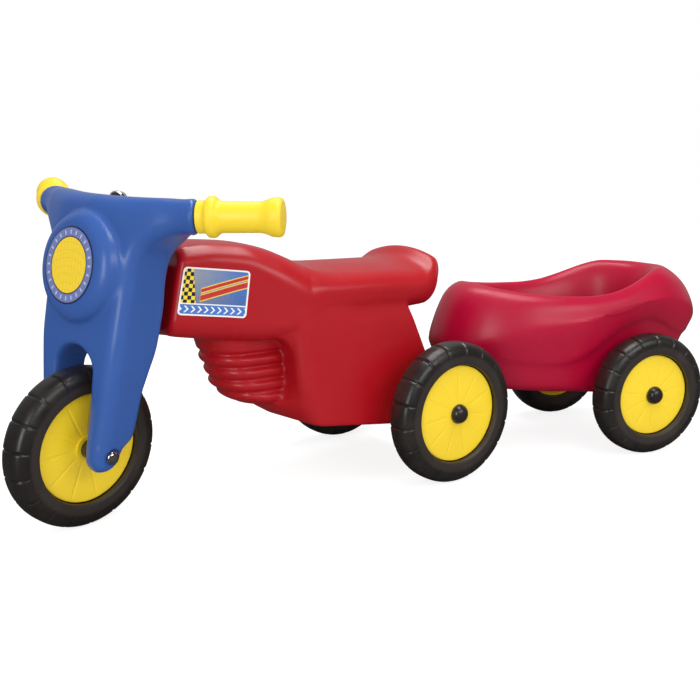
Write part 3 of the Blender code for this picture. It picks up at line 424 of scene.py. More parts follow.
def ease(t):
    t = np.clip(t, 0.0, 1.0)
    return t * t * (3 - 2 * t)


print("two flush faces joined over 4 mm swell by", -join_soft(0.0, 0.0, 4.0), "mm")


# %% Pull points onto a field
def settle(field, p, rounds=2, reach=0.2, most=1.5):
    """Pull points onto the zero surface of a field, along its slope."""
    for _ in range(rounds):
        slope = np.empty_like(p)
        for k, step in enumerate(np.eye(3) * reach):
            slope[:, k] = (field(*(p + step).T) - field(*(p - step).T)) / (2 * reach)
        size = np.maximum((slope ** 2).sum(1), 0.05)
        step = slope * (field(*p.T) / size)[:, None]
        length = np.linalg.norm(step, axis=1)
        p = p - step * np.minimum(1.0, most / np.maximum(length, 1e-9))[:, None]
    return p


print("a point 1 mm off the ground settles at",
      settle(lambda x, y, z: z, np.array([[0.0, 0.0, 1.0]])).tolist())


# %% Skin a field
def crossed_edges(value, counts, axis):
    """Grid edges along an axis that a surface crosses, where it does, and which face out."""
    ahead, behind = [slice(None)] * 3, [slice(None)] * 3
    ahead[axis], behind[axis] = slice(1, None), slice(None, -1)
    a, b = value[tuple(behind)], value[tuple(ahead)]
    edges = np.argwhere((a < 0) != (b < 0))
    for k in ((axis + 1) % 3, (axis + 2) % 3):
        edges = edges[(edges[:, k] > 0) & (edges[:, k] < counts[k] - 1)]
    at_a, at_b = a[tuple(edges.T)], b[tuple(edges.T)]
    crossing = edges.astype(float)
    crossing[:, axis] += at_a / (at_a - at_b)
    return edges, crossing, (at_a < 0)[:, None]


def skin_field(field, low, high, cell, relax=3):
    """Mesh of the zero surface: a point in each cell that it crosses, evened out and settled."""
    low, high, cell = np.array(low, float), np.array(high, float), np.array(cell, float)
    counts = np.ceil((high - low) / cell).astype(int) + 1
    value = field(*np.meshgrid(*[low[k] + cell[k] * np.arange(counts[k]) for k in range(3)],
                               indexing="ij"))
    pulls, owners, quads = [], [], []
    for axis in range(3):
        edges, crossing, out = crossed_edges(value, counts, axis)
        ring = []
        for back in ((1, 1), (0, 1), (0, 0), (1, 0)):
            owner = edges.copy()
            owner[:, [(axis + 1) % 3, (axis + 2) % 3]] -= back
            ring.append(np.ravel_multi_index(owner.T, counts - 1))
            pulls.append(crossing)
        owners += ring
        ring = np.array(ring).T
        quads.append(np.where(out, ring, ring[:, ::-1]))
    used, index = np.unique(np.concatenate(owners), return_inverse=True)
    pulls, many = np.concatenate(pulls), np.bincount(index)
    p = np.stack([np.bincount(index, pulls[:, k]) / many for k in range(3)], 1) * cell + low
    faces = np.searchsorted(used, np.concatenate(quads))
    p = settle(field, p)
    sides = np.concatenate([faces[:, [i, (i + 1) % 4]] for i in range(4)])
    many = np.bincount(sides[:, 0], minlength=len(p))[:, None]
    for _ in range(relax):
        total = [np.bincount(sides[:, 0], p[sides[:, 1], k], len(p)) for k in range(3)]
        p = settle(field, p + 0.5 * (np.stack(total, 1) / many - p), 1)
    return p, faces


test_ball = skin_field(lambda x, y, z: np.sqrt(x * x + y * y + z * z) - 5, [-8] * 3, [8] * 3,
                       [2] * 3)
print("a test ball has", len(test_ball[0]), "points and", len(test_ball[1]), "faces")


# %% Turned pieces
def rounded_profile(corners, steps=5):
    """Profile through (radius, along, rounding) corners, with each corner rounded off."""
    corners = [tuple(corner) + (0.0,) * (3 - len(corner)) for corner in corners]
    points = [np.array(corners[0][:2], float)]
    for before, corner, after in zip(corners, corners[1:], corners[2:]):
        here = np.array(corner[:2], float)
        if corner[2] <= 0:
            points.append(here)
            continue
        start, stop = [here + way / np.linalg.norm(way)
                       * min(corner[2], 0.49 * np.linalg.norm(way))
                       for way in (np.array(before[:2]) - here, np.array(after[:2]) - here)]
        for t in np.arange(steps + 1) / steps:
            points.append((1 - t) ** 2 * start + 2 * t * (1 - t) * here + t * t * stop)
    points.append(np.array(corners[-1][:2], float))
    return np.array(points)


def ring_faces(rows, count):
    """Faces between rows of points that each close on themselves."""
    index = np.arange(rows * count).reshape(rows, count)
    a, b = index[:-1], index[1:]
    return np.stack([a, b, np.roll(b, -1, 1), np.roll(a, -1, 1)], -1).reshape(-1, 4)


def merge_poles(points, faces):
    """Weld points that lie on each other and drop the corners that this folds away."""
    key = np.round(points * 1e4).astype(np.int64)
    _, first, index = np.unique(key, axis=0, return_index=True, return_inverse=True)
    kept = []
    for face in index.reshape(-1)[faces].tolist():
        corners = []
        for v in face:
            if not corners or (v != corners[-1] and v != corners[0]):
                corners.append(v)
        if len(corners) > 2:
            kept.append(corners)
    return points[first], kept


def even_angles(count):
    return np.arange(count) * 2 * math.pi / count


def turned_piece(name, profile, matrix, material, body, nodes, angles, swell=None, crease=40):
    """Piece turned from a profile about Y. swell(radius, along, angle) may shift its points."""
    profile = np.asarray(profile, float)
    radius = np.repeat(profile[:, :1], len(angles), 1)
    along = np.repeat(profile[:, 1:2], len(angles), 1)
    if swell is not None:
        radius, along = swell(radius, along, angles[None, :])
    points = np.stack([radius * np.sin(angles), along, radius * np.cos(angles)], -1)
    points, faces = merge_poles(points.reshape(-1, 3), ring_faces(len(profile), len(angles)))
    return outward(add_piece(name, points, faces, matrix, material, body, nodes, crease))


print("a rounded corner takes", len(rounded_profile(((0, 0), (9, 0, 2), (9, 9)))) - 2, "points")

# %% [markdown]
# ## The body: tank, seat, skirt and ribbed engine block
# One blow moulding makes the whole body, so one field makes it here. The tank and seat are a
# rounded section that is swept from the seat back to the neck and leans with the fork. The
# skirt is a box with an S shaped front flank and a slanted back. The engine block is a nose
# with four rolls round it and a plain band above. They melt together with wide fillets.

# %% Outlines of the tank and seat, in millimetres from the rear axle and the ground
BODY_TOP = drawn_curve((
    (-60, 283.5), (-30, 283.5), (-22, 282.5), (-16, 280), (-11, 276), (-6, 271), (0, 266.5),
    (9, 263.3), (24, 262), (120, 262.5), (145, 264), (165, 269), (185, 277.5), (205, 285),
    (240, 291.5), (280, 293.5), (330, 290.5)), 2)
BODY_UNDER = drawn_curve((
    (-60, 212), (-40, 212), (0, 208), (33, 207), (61, 211), (120, 213), (148, 212), (162, 204),
    (176, 191), (195, 185.5), (218, 185), (260, 188), (300, 194), (340, 202)), 3)
BODY_HALF = drawn_curve((
    (-60, 84), (-40, 84), (0, 86), (60, 85.5), (110, 83.5), (150, 81), (170, 79.5), (195, 75.5),
    (225, 66), (260, 57), (300, 53), (330, 50)), 5)
TOP_ROUND = drawn_curve((
    (-60, 28), (-20, 28), (60, 28), (150, 30), (200, 28), (240, 20), (330, 16)), 5)
CROWN = drawn_curve(((-60, 18), (0, 19), (40, 16), (100, 15), (190, 11), (240, 5), (330, 5)), 5)
UNDER_ROUND = drawn_curve((
    (-60, 30), (-40, 30), (0, 24), (60, 14), (120, 12), (165, 14), (200, 20), (330, 20)), 5)
RAKE_TAN = -steer_up.x / steer_up.z
TANK_FRONT, TANK_MIDDLE, LEAN_LENGTH, SEAT_END = 315.7, 245.0, 60.0, -30.0
print("seat height", BODY_TOP(60), "tank height", BODY_TOP(250))


# %% Tank and seat
def lean_station(x, z):
    """Distance along the tank of the leaning section that a point lies in."""
    station = x
    for _ in range(4):
        lean = RAKE_TAN * np.clip(1 - (TANK_FRONT - station) / LEAN_LENGTH, 0, 1)
        station = x + (z - TANK_MIDDLE) * lean
    return station


def tank_field(x, y, z):
    station = lean_station(x, z)
    half, top, under = BODY_HALF(station), BODY_TOP(station), BODY_UNDER(station)
    across = np.abs(y)
    top = top - CROWN(station) * np.clip(across / half, 0, 1) ** 2
    tuck = np.clip(half - 79.0, 0, 8) * ease((249 - z) / 38.0)
    half = half - tuck * ease((z - 150) / 20.0)
    tall, middle = (top - under) / 2, (top + under) / 2
    above = ease((z - middle) / 12.0 + 0.5)
    corner = UNDER_ROUND(station) * (1 - above) + TOP_ROUND(station) * above
    beside, over = across - half, np.abs(z - middle) - tall
    section = round_edge(beside, over, np.minimum(corner, tall * 0.97))
    sideways = ease((beside - over) / 30.0 + 0.5)
    tail = round_edge(section, SEAT_END - station, 30.0 + 14.0 * sideways)
    return round_edge(tail, station - TANK_FRONT, 7.0)


print("the tank leans by", round(math.degrees(math.atan(RAKE_TAN)), 1), "degrees at its front")

# %% Outlines of the skirt and the engine block, by height
SKIRT_EDGE = drawn_curve((
    (50, 158), (62, 163), (75, 167), (88, 171), (107, 176.5), (129, 183), (145, 186.5),
    (161, 188), (172, 190), (190, 192), (240, 192)), 3)
FLANK_SLANT = drawn_curve((
    (50, 0.2), (62, 0.22), (75, 0.36), (90, 0.46), (102, 0.42), (112, 0.24), (122, 0.08),
    (135, -0.04), (150, -0.10), (240, -0.10)), 3)
BLOCK_FRONT = drawn_curve((
    (95, 214), (103, 225), (112, 237), (121, 247), (132, 254.5), (145, 259), (160, 265),
    (175, 270), (200, 276)), 1)
SKIRT_HALF, BLOCK_HALF = 79.5, 43.0
RIB_LOWEST, RIB_PITCH, RIB_COUNT, RIB_DEPTH = 115.2, 14.9, 4, 5.5
print("the skirt's front edge runs from", SKIRT_EDGE(62), "to", SKIRT_EDGE(200))


# %% Skirt with its slanting front wall
def skirt_field(x, y, z):
    slope = 0.125 * x
    low = (z - slope * (1 + 63 / 60)) / (1 - slope / 60)
    level = np.where(low < 123, low, z)
    slant = FLANK_SLANT(level)
    wall = x - SKIRT_EDGE(level) - (SKIRT_HALF - np.abs(y)) * slant
    ahead = ease((x - 100) / 40.0)
    inset = 2.0 * (1 - ahead) * ease((z - 192) / 22.0) + 0.8 * ahead * ease((z - 200) / 20.0)
    inset = inset + np.clip(79.2 - BODY_HALF(x), 0, 6) * ease((z - 150) / 30.0)
    side = np.abs(y) - SKIRT_HALF + inset
    back = (28.5 - 0.46 * (207 - z) - x) * 0.908
    field = round_edge(side, back, 7.0)
    field = round_edge(field, wall / np.sqrt(1 + slant * slant), 14.0)
    field = round_edge(field, 61.5 - level, 5.0)
    return np.maximum(field, z - 226)


print("the skirt is", 2 * SKIRT_HALF, "mm wide")


# %% Engine block with its rolls
def block_field(x, y, z):
    turn_at = (z - RIB_LOWEST) / RIB_PITCH
    roll = np.sqrt(np.cos(np.pi * turn_at) ** 2 + 0.004) ** 0.7
    band = ease((turn_at - RIB_COUNT + 0.5) / 0.35)
    roll = np.where(turn_at > RIB_COUNT - 0.5, 0.15 + 0.6 * band, roll)
    ends = np.clip((x - SKIRT_EDGE(z) + 4.0) / 9.0, 0, 1)
    side = BLOCK_HALF - 7.0 + 7.0 * roll * np.sqrt(ends * (2 - ends))
    front = BLOCK_FRONT(z) - RIB_DEPTH + RIB_DEPTH * roll
    nose = np.maximum(x - front + side * 0.9, 0.0) / 0.9
    field = np.maximum(np.hypot(nose, y) - side, 178 - x)
    field = round_edge(field, 106.0 - z, 4.0)
    return np.maximum(field, z - 205) * 0.8


print("rolls at", [round(RIB_LOWEST + RIB_PITCH * k, 1) for k in range(RIB_COUNT)], "mm")

# %% Neck, hitch lug and the whole body
steer_foot = (pivot("steering") - stand) / MM
NECK_RADIUS, NECK_BORE, NECK_FOOT, NECK_HEAD = 17, 8.8, 122, 229
LUG_BACK, LUG_RADIUS, LUG_LOW, LUG_TOP, EYE_TOP = 27, 15, 66, 78, 102


def neck_field(x, y, z):
    dx, dz = x - steer_foot.x, z - steer_foot.z
    up = dx * steer_up.x + dz * steer_up.z
    ahead = dx * steer_up.z - dz * steer_up.x
    around = np.hypot(ahead, y)
    neck = round_edge(around - NECK_RADIUS, np.maximum(NECK_FOOT - up, up - NECK_HEAD), 2.0)
    web = round_edge(np.abs(y) - 13, np.maximum(125 - up, up - 199), 3.0)
    web = np.maximum(web, np.maximum(-86 - ahead, ahead + 3))
    return join_soft(neck, web, 8.0), around - NECK_BORE


def lug_field(x, y, z):
    around = np.hypot(np.minimum(x + LUG_BACK, 0), y) - LUG_RADIUS
    lug = round_edge(around, np.maximum(LUG_LOW - z, z - LUG_TOP), 1.5)
    eye_room = np.maximum(np.hypot(x + LUG_BACK, y) - LUG_RADIUS - 0.5,
                          np.maximum(LUG_TOP - z, z - EYE_TOP))
    return np.maximum(lug, x - 30), eye_room


def body_field(x, y, z):
    corner = ease((x - 160) / 25.0) * ease((200 - z) / 14.0) * ease((78 - np.abs(y)) / 14.0)
    blend = 4.0 + 16.0 * corner - 3.0 * ease((x - 100) / 30.0) * ease((z - 188) / 12.0)
    shell = join_soft(tank_field(x, y, z), skirt_field(x, y, z), blend)
    shell = join_soft(shell, block_field(x, y, z), 5.0)
    neck, bore = neck_field(x, y, z)
    lug, eye_room = lug_field(x, y, z)
    shell = cut_soft(join_soft(shell, neck, 6.0), eye_room, 2.0)
    return np.maximum(join_soft(shell, lug, 3.0), -bore)


points, faces = skin_field(body_field, (-50, -92, 57), (404, 92, 302), (2.5, 2.5, 2.4))
add_piece("body_moulding", points, faces, BODY, RED, "scooter_body", ["body_shell"])
print("body moulding:", len(points), "points", len(faces), "faces")

# %% [markdown]
# ## The fork
# The fork is a thick plate that runs down into two legs, with a crossbeam on top that bends
# back into the grips and a round headlight cone on its face. It is skinned from a field too.
# The big round front edge catches a long highlight, so its radius matters more than anything.

# %% Outlines of the fork, in millimetres up the steering axis
FORK_HALF = drawn_curve((
    (-30, 46), (-21, 48), (-12, 51), (0, 53), (60, 59), (120, 64.5), (190, 66.5), (205, 69),
    (216, 76), (228, 88), (240, 92), (262, 92)), 4)
FORK_FRONT = drawn_curve((
    (-30, 22), (-9, 24), (14, 25.5), (43, 26.2), (80, 28.8), (120, 31), (200, 31), (235, 29.1),
    (262, 25)), 3)
FORK_REAR = drawn_curve((
    (-30, -20), (-17, -9), (-5, 3.2), (7, 4.5), (20, 14.0), (28, 15.5), (67, 15.9), (86, 18.5),
    (120, 23.5), (150, 24), (200, 24), (235, 22.5), (262, 19)), 1.5)
BEAM_SPAN, BEAM_Z, BEAM_RISE, BEAM_LEAD, BEAM_SWEEP, BEAM_ROUND = 115.0, 243.0, 6.0, 3.5, 8.5, 17.5
GRIP_SWEEP, GRIP_RISE = math.radians(31), math.radians(8)
PLATE_FRONT, CONE_ROUND, CONE_HEIGHT, CONE_Z = 31.0, 57.5, 17.0, 185.0
ARCH_HALF, ARCH_TOP = 30.0, 106.0
LEG_OUTER, AXLE_LEAD, CAP_SUNK = 53.0, 6.0, 2.5
PIN_ROOM, CAP_ROOM, TOP_CAP_SEAT, LOW_CAP_SEAT = 5.3, 10, 255.5, 107.0
print("fork plate", 2 * FORK_HALF(120), "mm wide,", FORK_FRONT(120) + FORK_REAR(120), "deep")


# %% Plate and legs
def plate_field(x, y, z):
    high = ease((z - 195) / 40.0)
    front = FORK_FRONT(z) - 9.0 * high * ease((np.abs(y) - 38) / 60.0)
    rear = FORK_REAR(z)
    middle, deep = (front - rear) / 2, (front + rear) / 2
    facing = ease((x - middle) / 14.0 + 0.5)
    corner = 5.0 + 5.0 * ease((z - 150) / 40.0) * (1 - facing) + 10.0 * facing
    bulge = np.where(x > middle, 1.5 * (1 - (y / 70.0) ** 2), 0)
    field = round_edge(np.abs(x - middle) - deep - bulge, np.abs(y) - FORK_HALF(z),
                       np.minimum(corner, deep * 0.9))
    foot = (0.42 * np.maximum(x - 9, 0) - 20 - z) * 0.92
    return round_edge(round_edge(field, foot, 9.0), z - 252, 8.0)


print("the plate is", PLATE_FRONT, "mm ahead of the steering axis")


# %% Crossbeam, bent back square to the grips
def beam_field(x, y, z):
    share = np.clip(np.abs(y) / BEAM_SPAN, 0, 1.3)
    for _ in range(3):
        bend = ease((share - 0.4) / 0.6)
        ax, ay = -math.sin(GRIP_SWEEP) * bend, np.cos(GRIP_SWEEP * bend)
        az = math.sin(GRIP_RISE) * bend
        size = np.sqrt(ax * ax + ay * ay + az * az)
        ax, ay, az = ax / size, ay / size, az / size
        dx = x - (BEAM_LEAD - BEAM_SWEEP * np.minimum(share, 1.3) ** 1.6)
        dy, dz = np.abs(y) - BEAM_SPAN * share, z - (BEAM_Z + BEAM_RISE * share ** 2)
        share = np.clip(share + (dx * ax + dy * ay + dz * az) / (BEAM_SPAN * 1.05), 0, 1.3)
    flat = np.sqrt(ax * ax + ay * ay)
    forward = dx * (ay / flat) + dy * (-ax / flat)
    upward = dz * flat - (dx * ax + dy * ay) / flat * az
    deep = BEAM_ROUND + 6.5 * (1 - np.minimum(share, 1) ** 0.8)
    tall = BEAM_ROUND - 3.0 * (1 - np.minimum(share, 1) ** 2)
    boxy = 2.0 + 1.2 * (1 - ease((share - 0.55) / 0.45))
    ellipse = np.abs(forward / deep) ** boxy + np.abs(upward / tall) ** boxy
    field = (np.maximum(ellipse, 1e-6) ** (1 / boxy) - 1) * tall
    end = (np.abs(y) - BEAM_SPAN) * math.cos(GRIP_SWEEP)
    end = end - (x - BEAM_LEAD + BEAM_SWEEP) * math.sin(GRIP_SWEEP)
    end = end + (z - BEAM_Z - BEAM_RISE) * math.sin(GRIP_RISE)
    return round_edge(field, end, 5.0)


print("the crossbeam spans", 2 * BEAM_SPAN, "mm between the grips")


# %% Headlight cone, arch and the whole fork
def cone_field(x, y, z):
    around, height = np.hypot(y, z - CONE_Z), x - PLATE_FRONT
    wall = (around - CONE_ROUND + 0.35 * height) * 0.94
    return np.maximum(round_edge(wall, height - CONE_HEIGHT, 10.5), -12 - height)


def arch_field(x, y, z):
    above = np.maximum(z - (ARCH_TOP - ARCH_HALF * 0.8), 0) / 0.8
    flare = 1.3 * np.clip(-6 - x, 0, 14) * ease((z - 50) / 25.0)
    return (np.hypot(y, above) - ARCH_HALF - flare) * 0.8


def fork_field(x, y, z):
    fork = join_soft(plate_field(x, y, z), beam_field(x, y, z), 20.0)
    fork = join_soft(fork, cone_field(x, y, z), 4.0)
    fork = cut_soft(fork, arch_field(x, y, z), 7.0)
    pocket = np.maximum(np.abs(y) - 42, np.maximum(x - 20, np.maximum(120 - z, z - 231)))
    fork = cut_soft(fork, pocket, 4.0)
    around = np.hypot(x, y)
    fork = np.maximum(fork, PIN_ROOM - around)
    low_seat = np.maximum(z - LOW_CAP_SEAT, LOW_CAP_SEAT - 27 - z)
    for room in (TOP_CAP_SEAT - z, low_seat):
        fork = cut_soft(fork, np.maximum(around - CAP_ROOM, room), 1.0)
    at_axle = np.hypot(x - AXLE_LEAD, z) - 9.0
    return cut_soft(fork, np.maximum(at_axle, LEG_OUTER - CAP_SUNK - np.abs(y)), 1.2)


points, faces = skin_field(fork_field, (-56, -140, -26), (56, 140, 276), (2.2, 2.3, 2.3))
add_piece("fork_moulding", points, faces, FORK, BLUE, "front_fork", ["fork_shell"])
print("fork moulding:", len(points), "points", len(faces), "faces")

# %% [markdown]
# ## Grips
# Each grip is a soft yellow tube pushed on a peg at the end of the crossbeam. It starts with a
# plain neck, swells into a ring against the hand, runs straight and ends in a wider knob. It is
# turned from one rounded profile.

# %% Grips at both ends of the crossbeam
GRIP_CORNERS = ((0, 1.2), (15.8, 1.2, 1.0), (15.4, 9.0, 2.4), (19.6, 11.5, 2.4),
                (20.0, 18.0, 2.8), (15.1, 22.5, 3.2), (14.7, 64.0, 5.0), (18.2, 72.0, 3.0),
                (18.9, 80.0, 2.4), (16.8, 83.0, 1.6), (0, 83.0))
for name, side in (("grip_left", 1), ("grip_right", -1)):
    end = Vector((BEAM_LEAD - BEAM_SWEEP, side * BEAM_SPAN, BEAM_Z + BEAM_RISE))
    out = Vector((-math.sin(GRIP_SWEEP), side * math.cos(GRIP_SWEEP), math.sin(GRIP_RISE)))
    matrix = FORK @ Matrix.Translation(end) @ out.to_track_quat("Y", "Z").to_matrix().to_4x4()
    turned_piece(name + "_sleeve", rounded_profile(GRIP_CORNERS, 6), matrix, YELLOW,
                 "front_fork", [name], even_angles(72))
print("grips: 83 mm long, 40 mm across the rings")

# %% [markdown]
# ## Wheels
# A wheel is three turned pieces: a solid tyre, a disc that snaps into it and a domed cap. The
# tread has a short groove every twenty degrees, cut in the mesh itself by placing more points
# round each groove and pulling them in. The discs have faint folds that run out from the hub.

# %% Angles round a wheel
TYRE_HALF, TYRE_WALL, SIDEWALL = 17.5, 26.7, 12.0
GROOVE_COUNT, GROOVE_HALF, GROOVE_DEPTH = 18, 0.026, 1.5
GROOVE_ANGLES = np.array([-1.6, -1.0, -0.55, 0, 0.55, 1.0, 1.6]) * GROOVE_HALF
FOLD_COUNT = 11
FOLD_ANGLES = np.array([-0.085, -0.045, -0.024, -0.011, 0, 0.011, 0.024, 0.045, 0.085])


def close_angles(near, between, count, phase):
    """Angles round a wheel that lie close together at count places and loosely between them."""
    pitch = 2 * math.pi / count
    rest = np.linspace(near[-1], pitch - near[-1], between)[1:-1]
    one = np.concatenate([near, rest])
    return np.concatenate([one + phase + k * pitch for k in range(count)])


def off_nearest(angle, count, phase):
    """Angle from the nearest of those places."""
    pitch = 2 * math.pi / count
    return (angle - phase + pitch / 2) % pitch - pitch / 2


print("points round a tyre:", len(close_angles(GROOVE_ANGLES, 8, GROOVE_COUNT, 0)))


# %% Tyre profile and grooves
def tyre_profile(radius):
    """Closed (radius, along) profile of a tyre with a flat ring and a round tread."""
    bore = radius - TYRE_WALL + 0.4
    edge = bore + 1.5 + SIDEWALL - 3
    half = [(bore, 10.8), (bore + 0.2, 14.4), (bore + 0.9, 16.4), (bore + 2.2, 17.2),
            (bore + 4.0, 17.4), (edge - 2, 17.5), (edge, 17.45)]
    for angle in np.linspace(6, 90, 15):
        t = math.radians(angle)
        half.append((edge + (radius - edge) * math.sin(t) ** 0.9,
                     TYRE_HALF * max(math.cos(t), 0) ** 0.62))
    return np.array(half + [(r, -s) for r, s in reversed(half[:-1])])


def grooved(radius, phase):
    """Pull the tread in along each groove, fading out on the flat ring."""
    def swell(r, along, angle):
        off = off_nearest(angle, GROOVE_COUNT, phase)
        on_tread = ease((r - (radius - TYRE_WALL + 11)) / 5.0)
        deep = GROOVE_DEPTH * ease(1 - np.abs(off) / GROOVE_HALF) * on_tread
        pull = np.clip((radius - r) / 14, 0, 1)
        return r - deep * (1 - 0.5 * pull), along - np.sign(along) * deep * 0.7 * pull
    return swell


def paint_ring(piece, matrix, radius):
    """Store where the flat ring beside the disc is, for the rubber material."""
    co = np.array([v.co for v in piece.data.vertices])
    local = np.c_[co, np.ones(len(co))] @ np.array(matrix.inverted()).T
    around = np.hypot(local[:, 0], local[:, 2])
    ring = 1 - ease((around - (radius - TYRE_WALL + 10)) / 3.0)
    mask = piece.data.attributes.new("ring", "FLOAT", "POINT")
    mask.data.foreach_set("value", ring.astype(np.float32))


print("tyre:", 2 * TYRE_HALF, "mm wide,", GROOVE_COUNT, "grooves")


# %% Discs with folds
def disc_profile(radius, hub):
    """Profile of a disc, with points every few millimetres for the folds to bend."""
    outer = radius - TYRE_WALL
    face = rounded_profile((
        (4.4, hub), (11.6, hub, 0.8), (13.4, min(hub, 12.4), 1.0), (20, 11.7, 4),
        (outer - 3, 10.6, 2), (outer - 0.6, 10.4, 0.8), (outer - 0.4, 8.0, 0.5),
        (outer - 0.2, -9.0, 0.8), (outer - 3.4, -10.0, 0.8), (outer - 5.0, 2.0, 2.0),
        (14.5, 3.0, 2.0), (12.0, -14.5, 0.6), (4.4, -14.8)), 4)
    fine = []
    for a, b in zip(face, face[1:]):
        steps = max(1, int(np.linalg.norm(b - a) / 5))
        fine += [a + (b - a) * k / steps for k in range(steps)]
    return np.array(fine + [face[-1]])


def folded(radius, phase, depth, dish):
    """Shallow radial folds in the outer face of a disc, and a dish towards the hub."""
    outer = radius - TYRE_WALL

    def swell(r, along, angle):
        off = np.abs(off_nearest(angle, FOLD_COUNT, phase))
        reach = ease((r - 14) / 6) * ease((outer - 2 - r) / 8)
        crease = np.exp(-(off * np.maximum(r, 8) / 1.1) ** 2)
        sink = depth * crease * reach + dish * ease((outer - r) / (outer - 16))
        return r, along - np.where((along > 9) & (r > 14), sink, 0.0)
    return swell


print("disc:", FOLD_COUNT, "folds")

# %% Put the five wheels together
CAP_CORNERS = ((0, 10.0), (4.0, 9.7, 2.0), (8.6, 7.6, 3.5), (11.4, 3.4, 3.0), (12.0, 0.2, 0.6),
               (4.4, 0.0))
CAP_AT = Matrix.Translation((0, 13.2, 0))


def make_wheel(prefix, side, radius, hub, dish, phase, fold_depth, capped):
    body = prefix + "_wheel"
    matrix = axle_frame(body + "_spin", side)
    tyre = turned_piece(prefix + "_tyre_rubber", tyre_profile(radius), matrix, TYRE, body,
                        [prefix + "_tyre"],
                        close_angles(GROOVE_ANGLES, 8, GROOVE_COUNT, phase),
                        grooved(radius, phase), 55)
    paint_ring(tyre, matrix, radius)
    phase += 0.1
    turned_piece(prefix + "_disc", disc_profile(radius, hub), matrix, YELLOW, body,
                 [prefix + "_rim"], close_angles(FOLD_ANGLES, 6, FOLD_COUNT, phase),
                 folded(radius, phase, fold_depth, dish), 50)
    if capped:
        turned_piece(prefix + "_cap_dome", rounded_profile(CAP_CORNERS, 6), matrix @ CAP_AT,
                     BLACK, body, [prefix + "_hub_cap"], even_angles(64))


for prefix, side, radius, phase in (("rear_left", 1, 85, 4.45), ("rear_right", -1, 85, 4.45),
                                    ("trailer_left", 1, 80, 4.2), ("trailer_right", -1, 80, 4.2)):
    make_wheel(prefix, side, radius, 12.8, 0.0, phase, 0.35, True)
make_wheel("front", 1, 85, 12.0, 3.0, 0.35, 0.6, False)
print("wheels made: 5")

# %% [markdown]
# ## Chrome caps and bushes on the fork
# The axle and the steering pin end in small pressed caps, domed and chromed, sunk in round
# seats. They are turned with a rim that is slightly proud of the seat.

# %% Caps on the pin and the axle
TALL_DOME = ((0, 10.6), (4.4, 10.2, 2.0), (7.8, 8.2, 3.0), (8.9, 5.0, 1.6), (9.0, 0.4, 0.2),
             (0, 0.35))
DOME = ((0, 6.9), (4.2, 6.5, 2.0), (7.6, 4.6, 3.0), (8.9, 1.9, 1.6), (9.0, 0.4, 0.2), (0, 0.35))
AXLE_DOME = ((0, 5.0), (3.6, 4.7, 1.6), (6.3, 3.2, 2.4), (7.4, 1.4, 1.2), (7.5, 0.4, 0.2),
             (0, 0.35))
BUSH = ((4.2, 12.4), (10.4, 12.4, 0.8), (10.4, 20.0, 1.0), (9.0, 21.5, 0.6), (9.0, 29.4, 0.6),
        (4.2, 29.6))
AXLE_SEAT = LEG_OUTER - CAP_SUNK
for node, corners, place, angle, axis in (
        ("steering_cap_top", TALL_DOME, (0, 0, TOP_CAP_SEAT), 90, "X"),
        ("steering_cap_bottom", DOME, (0, 0, LOW_CAP_SEAT), -90, "X"),
        ("front_axle_cap_left", AXLE_DOME, (AXLE_LEAD, AXLE_SEAT, 0), 0, "Z"),
        ("front_axle_cap_right", AXLE_DOME, (AXLE_LEAD, -AXLE_SEAT, 0), 180, "Z"),
        ("front_spacer_left", BUSH, (AXLE_LEAD, 0, 0), 0, "Z"),
        ("front_spacer_right", BUSH, (AXLE_LEAD, 0, 0), 180, "Z")):
    ending, steps, material = ("_bush", 4, BLACK) if corners is BUSH else ("_dome", 5, CHROME)
    matrix = FORK @ Matrix.Translation(place) @ Matrix.Rotation(math.radians(angle), 4, axis)
    turned_piece(node + ending, rounded_profile(corners, steps), matrix, material, "front_fork",
                 [node], even_angles(48))
print("chrome caps: 4, bushes: 2")

# %% [markdown]
# ## The trailer tub
# The tub is a deep oval shell with a rolled rim that rises and falls like a saddle. Its side
# bulges out and stops at a crisp crease that climbs over the wheel, and below it the wall falls
# in to a narrow floor. Rings are drawn at the levels that matter, and a spline fills the gaps.

# %% Outlines of the tub, in millimetres behind its axle
CREASE = drawn_curve((
    (-270, 138), (-240, 138), (-200, 134), (-165, 129), (-136, 126), (-111, 127), (-90, 133),
    (-72, 143), (-57, 153), (-37, 165), (-16, 173.5), (14, 178.5), (30, 176), (45, 170),
    (70, 158), (100, 150), (160, 147)), 2)
RIM = drawn_curve((
    (-260, 229), (-240, 228.5), (-215, 225), (-195, 220), (-162, 214.5), (-122, 211),
    (-82, 210), (-50, 212.5), (-25, 218.5), (0, 227), (22, 235.3), (45, 241), (70, 241),
    (97, 236), (122, 232.5), (150, 231)), 4)
BULGE = drawn_curve((
    (-270, 146), (-262, 146), (-200, 160), (-100, 178), (-40, 196), (20, 203), (80, 187),
    (156, 163), (165, 162)), 5)
FLOOR = drawn_curve((
    (-240, 88), (-230, 88), (-125, 81), (-50, 74), (0, 68), (60, 68), (110, 78), (120, 80)), 5)
AXLE_BEHIND, TUB_COUNT, RING_STEPS = 300.5, 144, 6
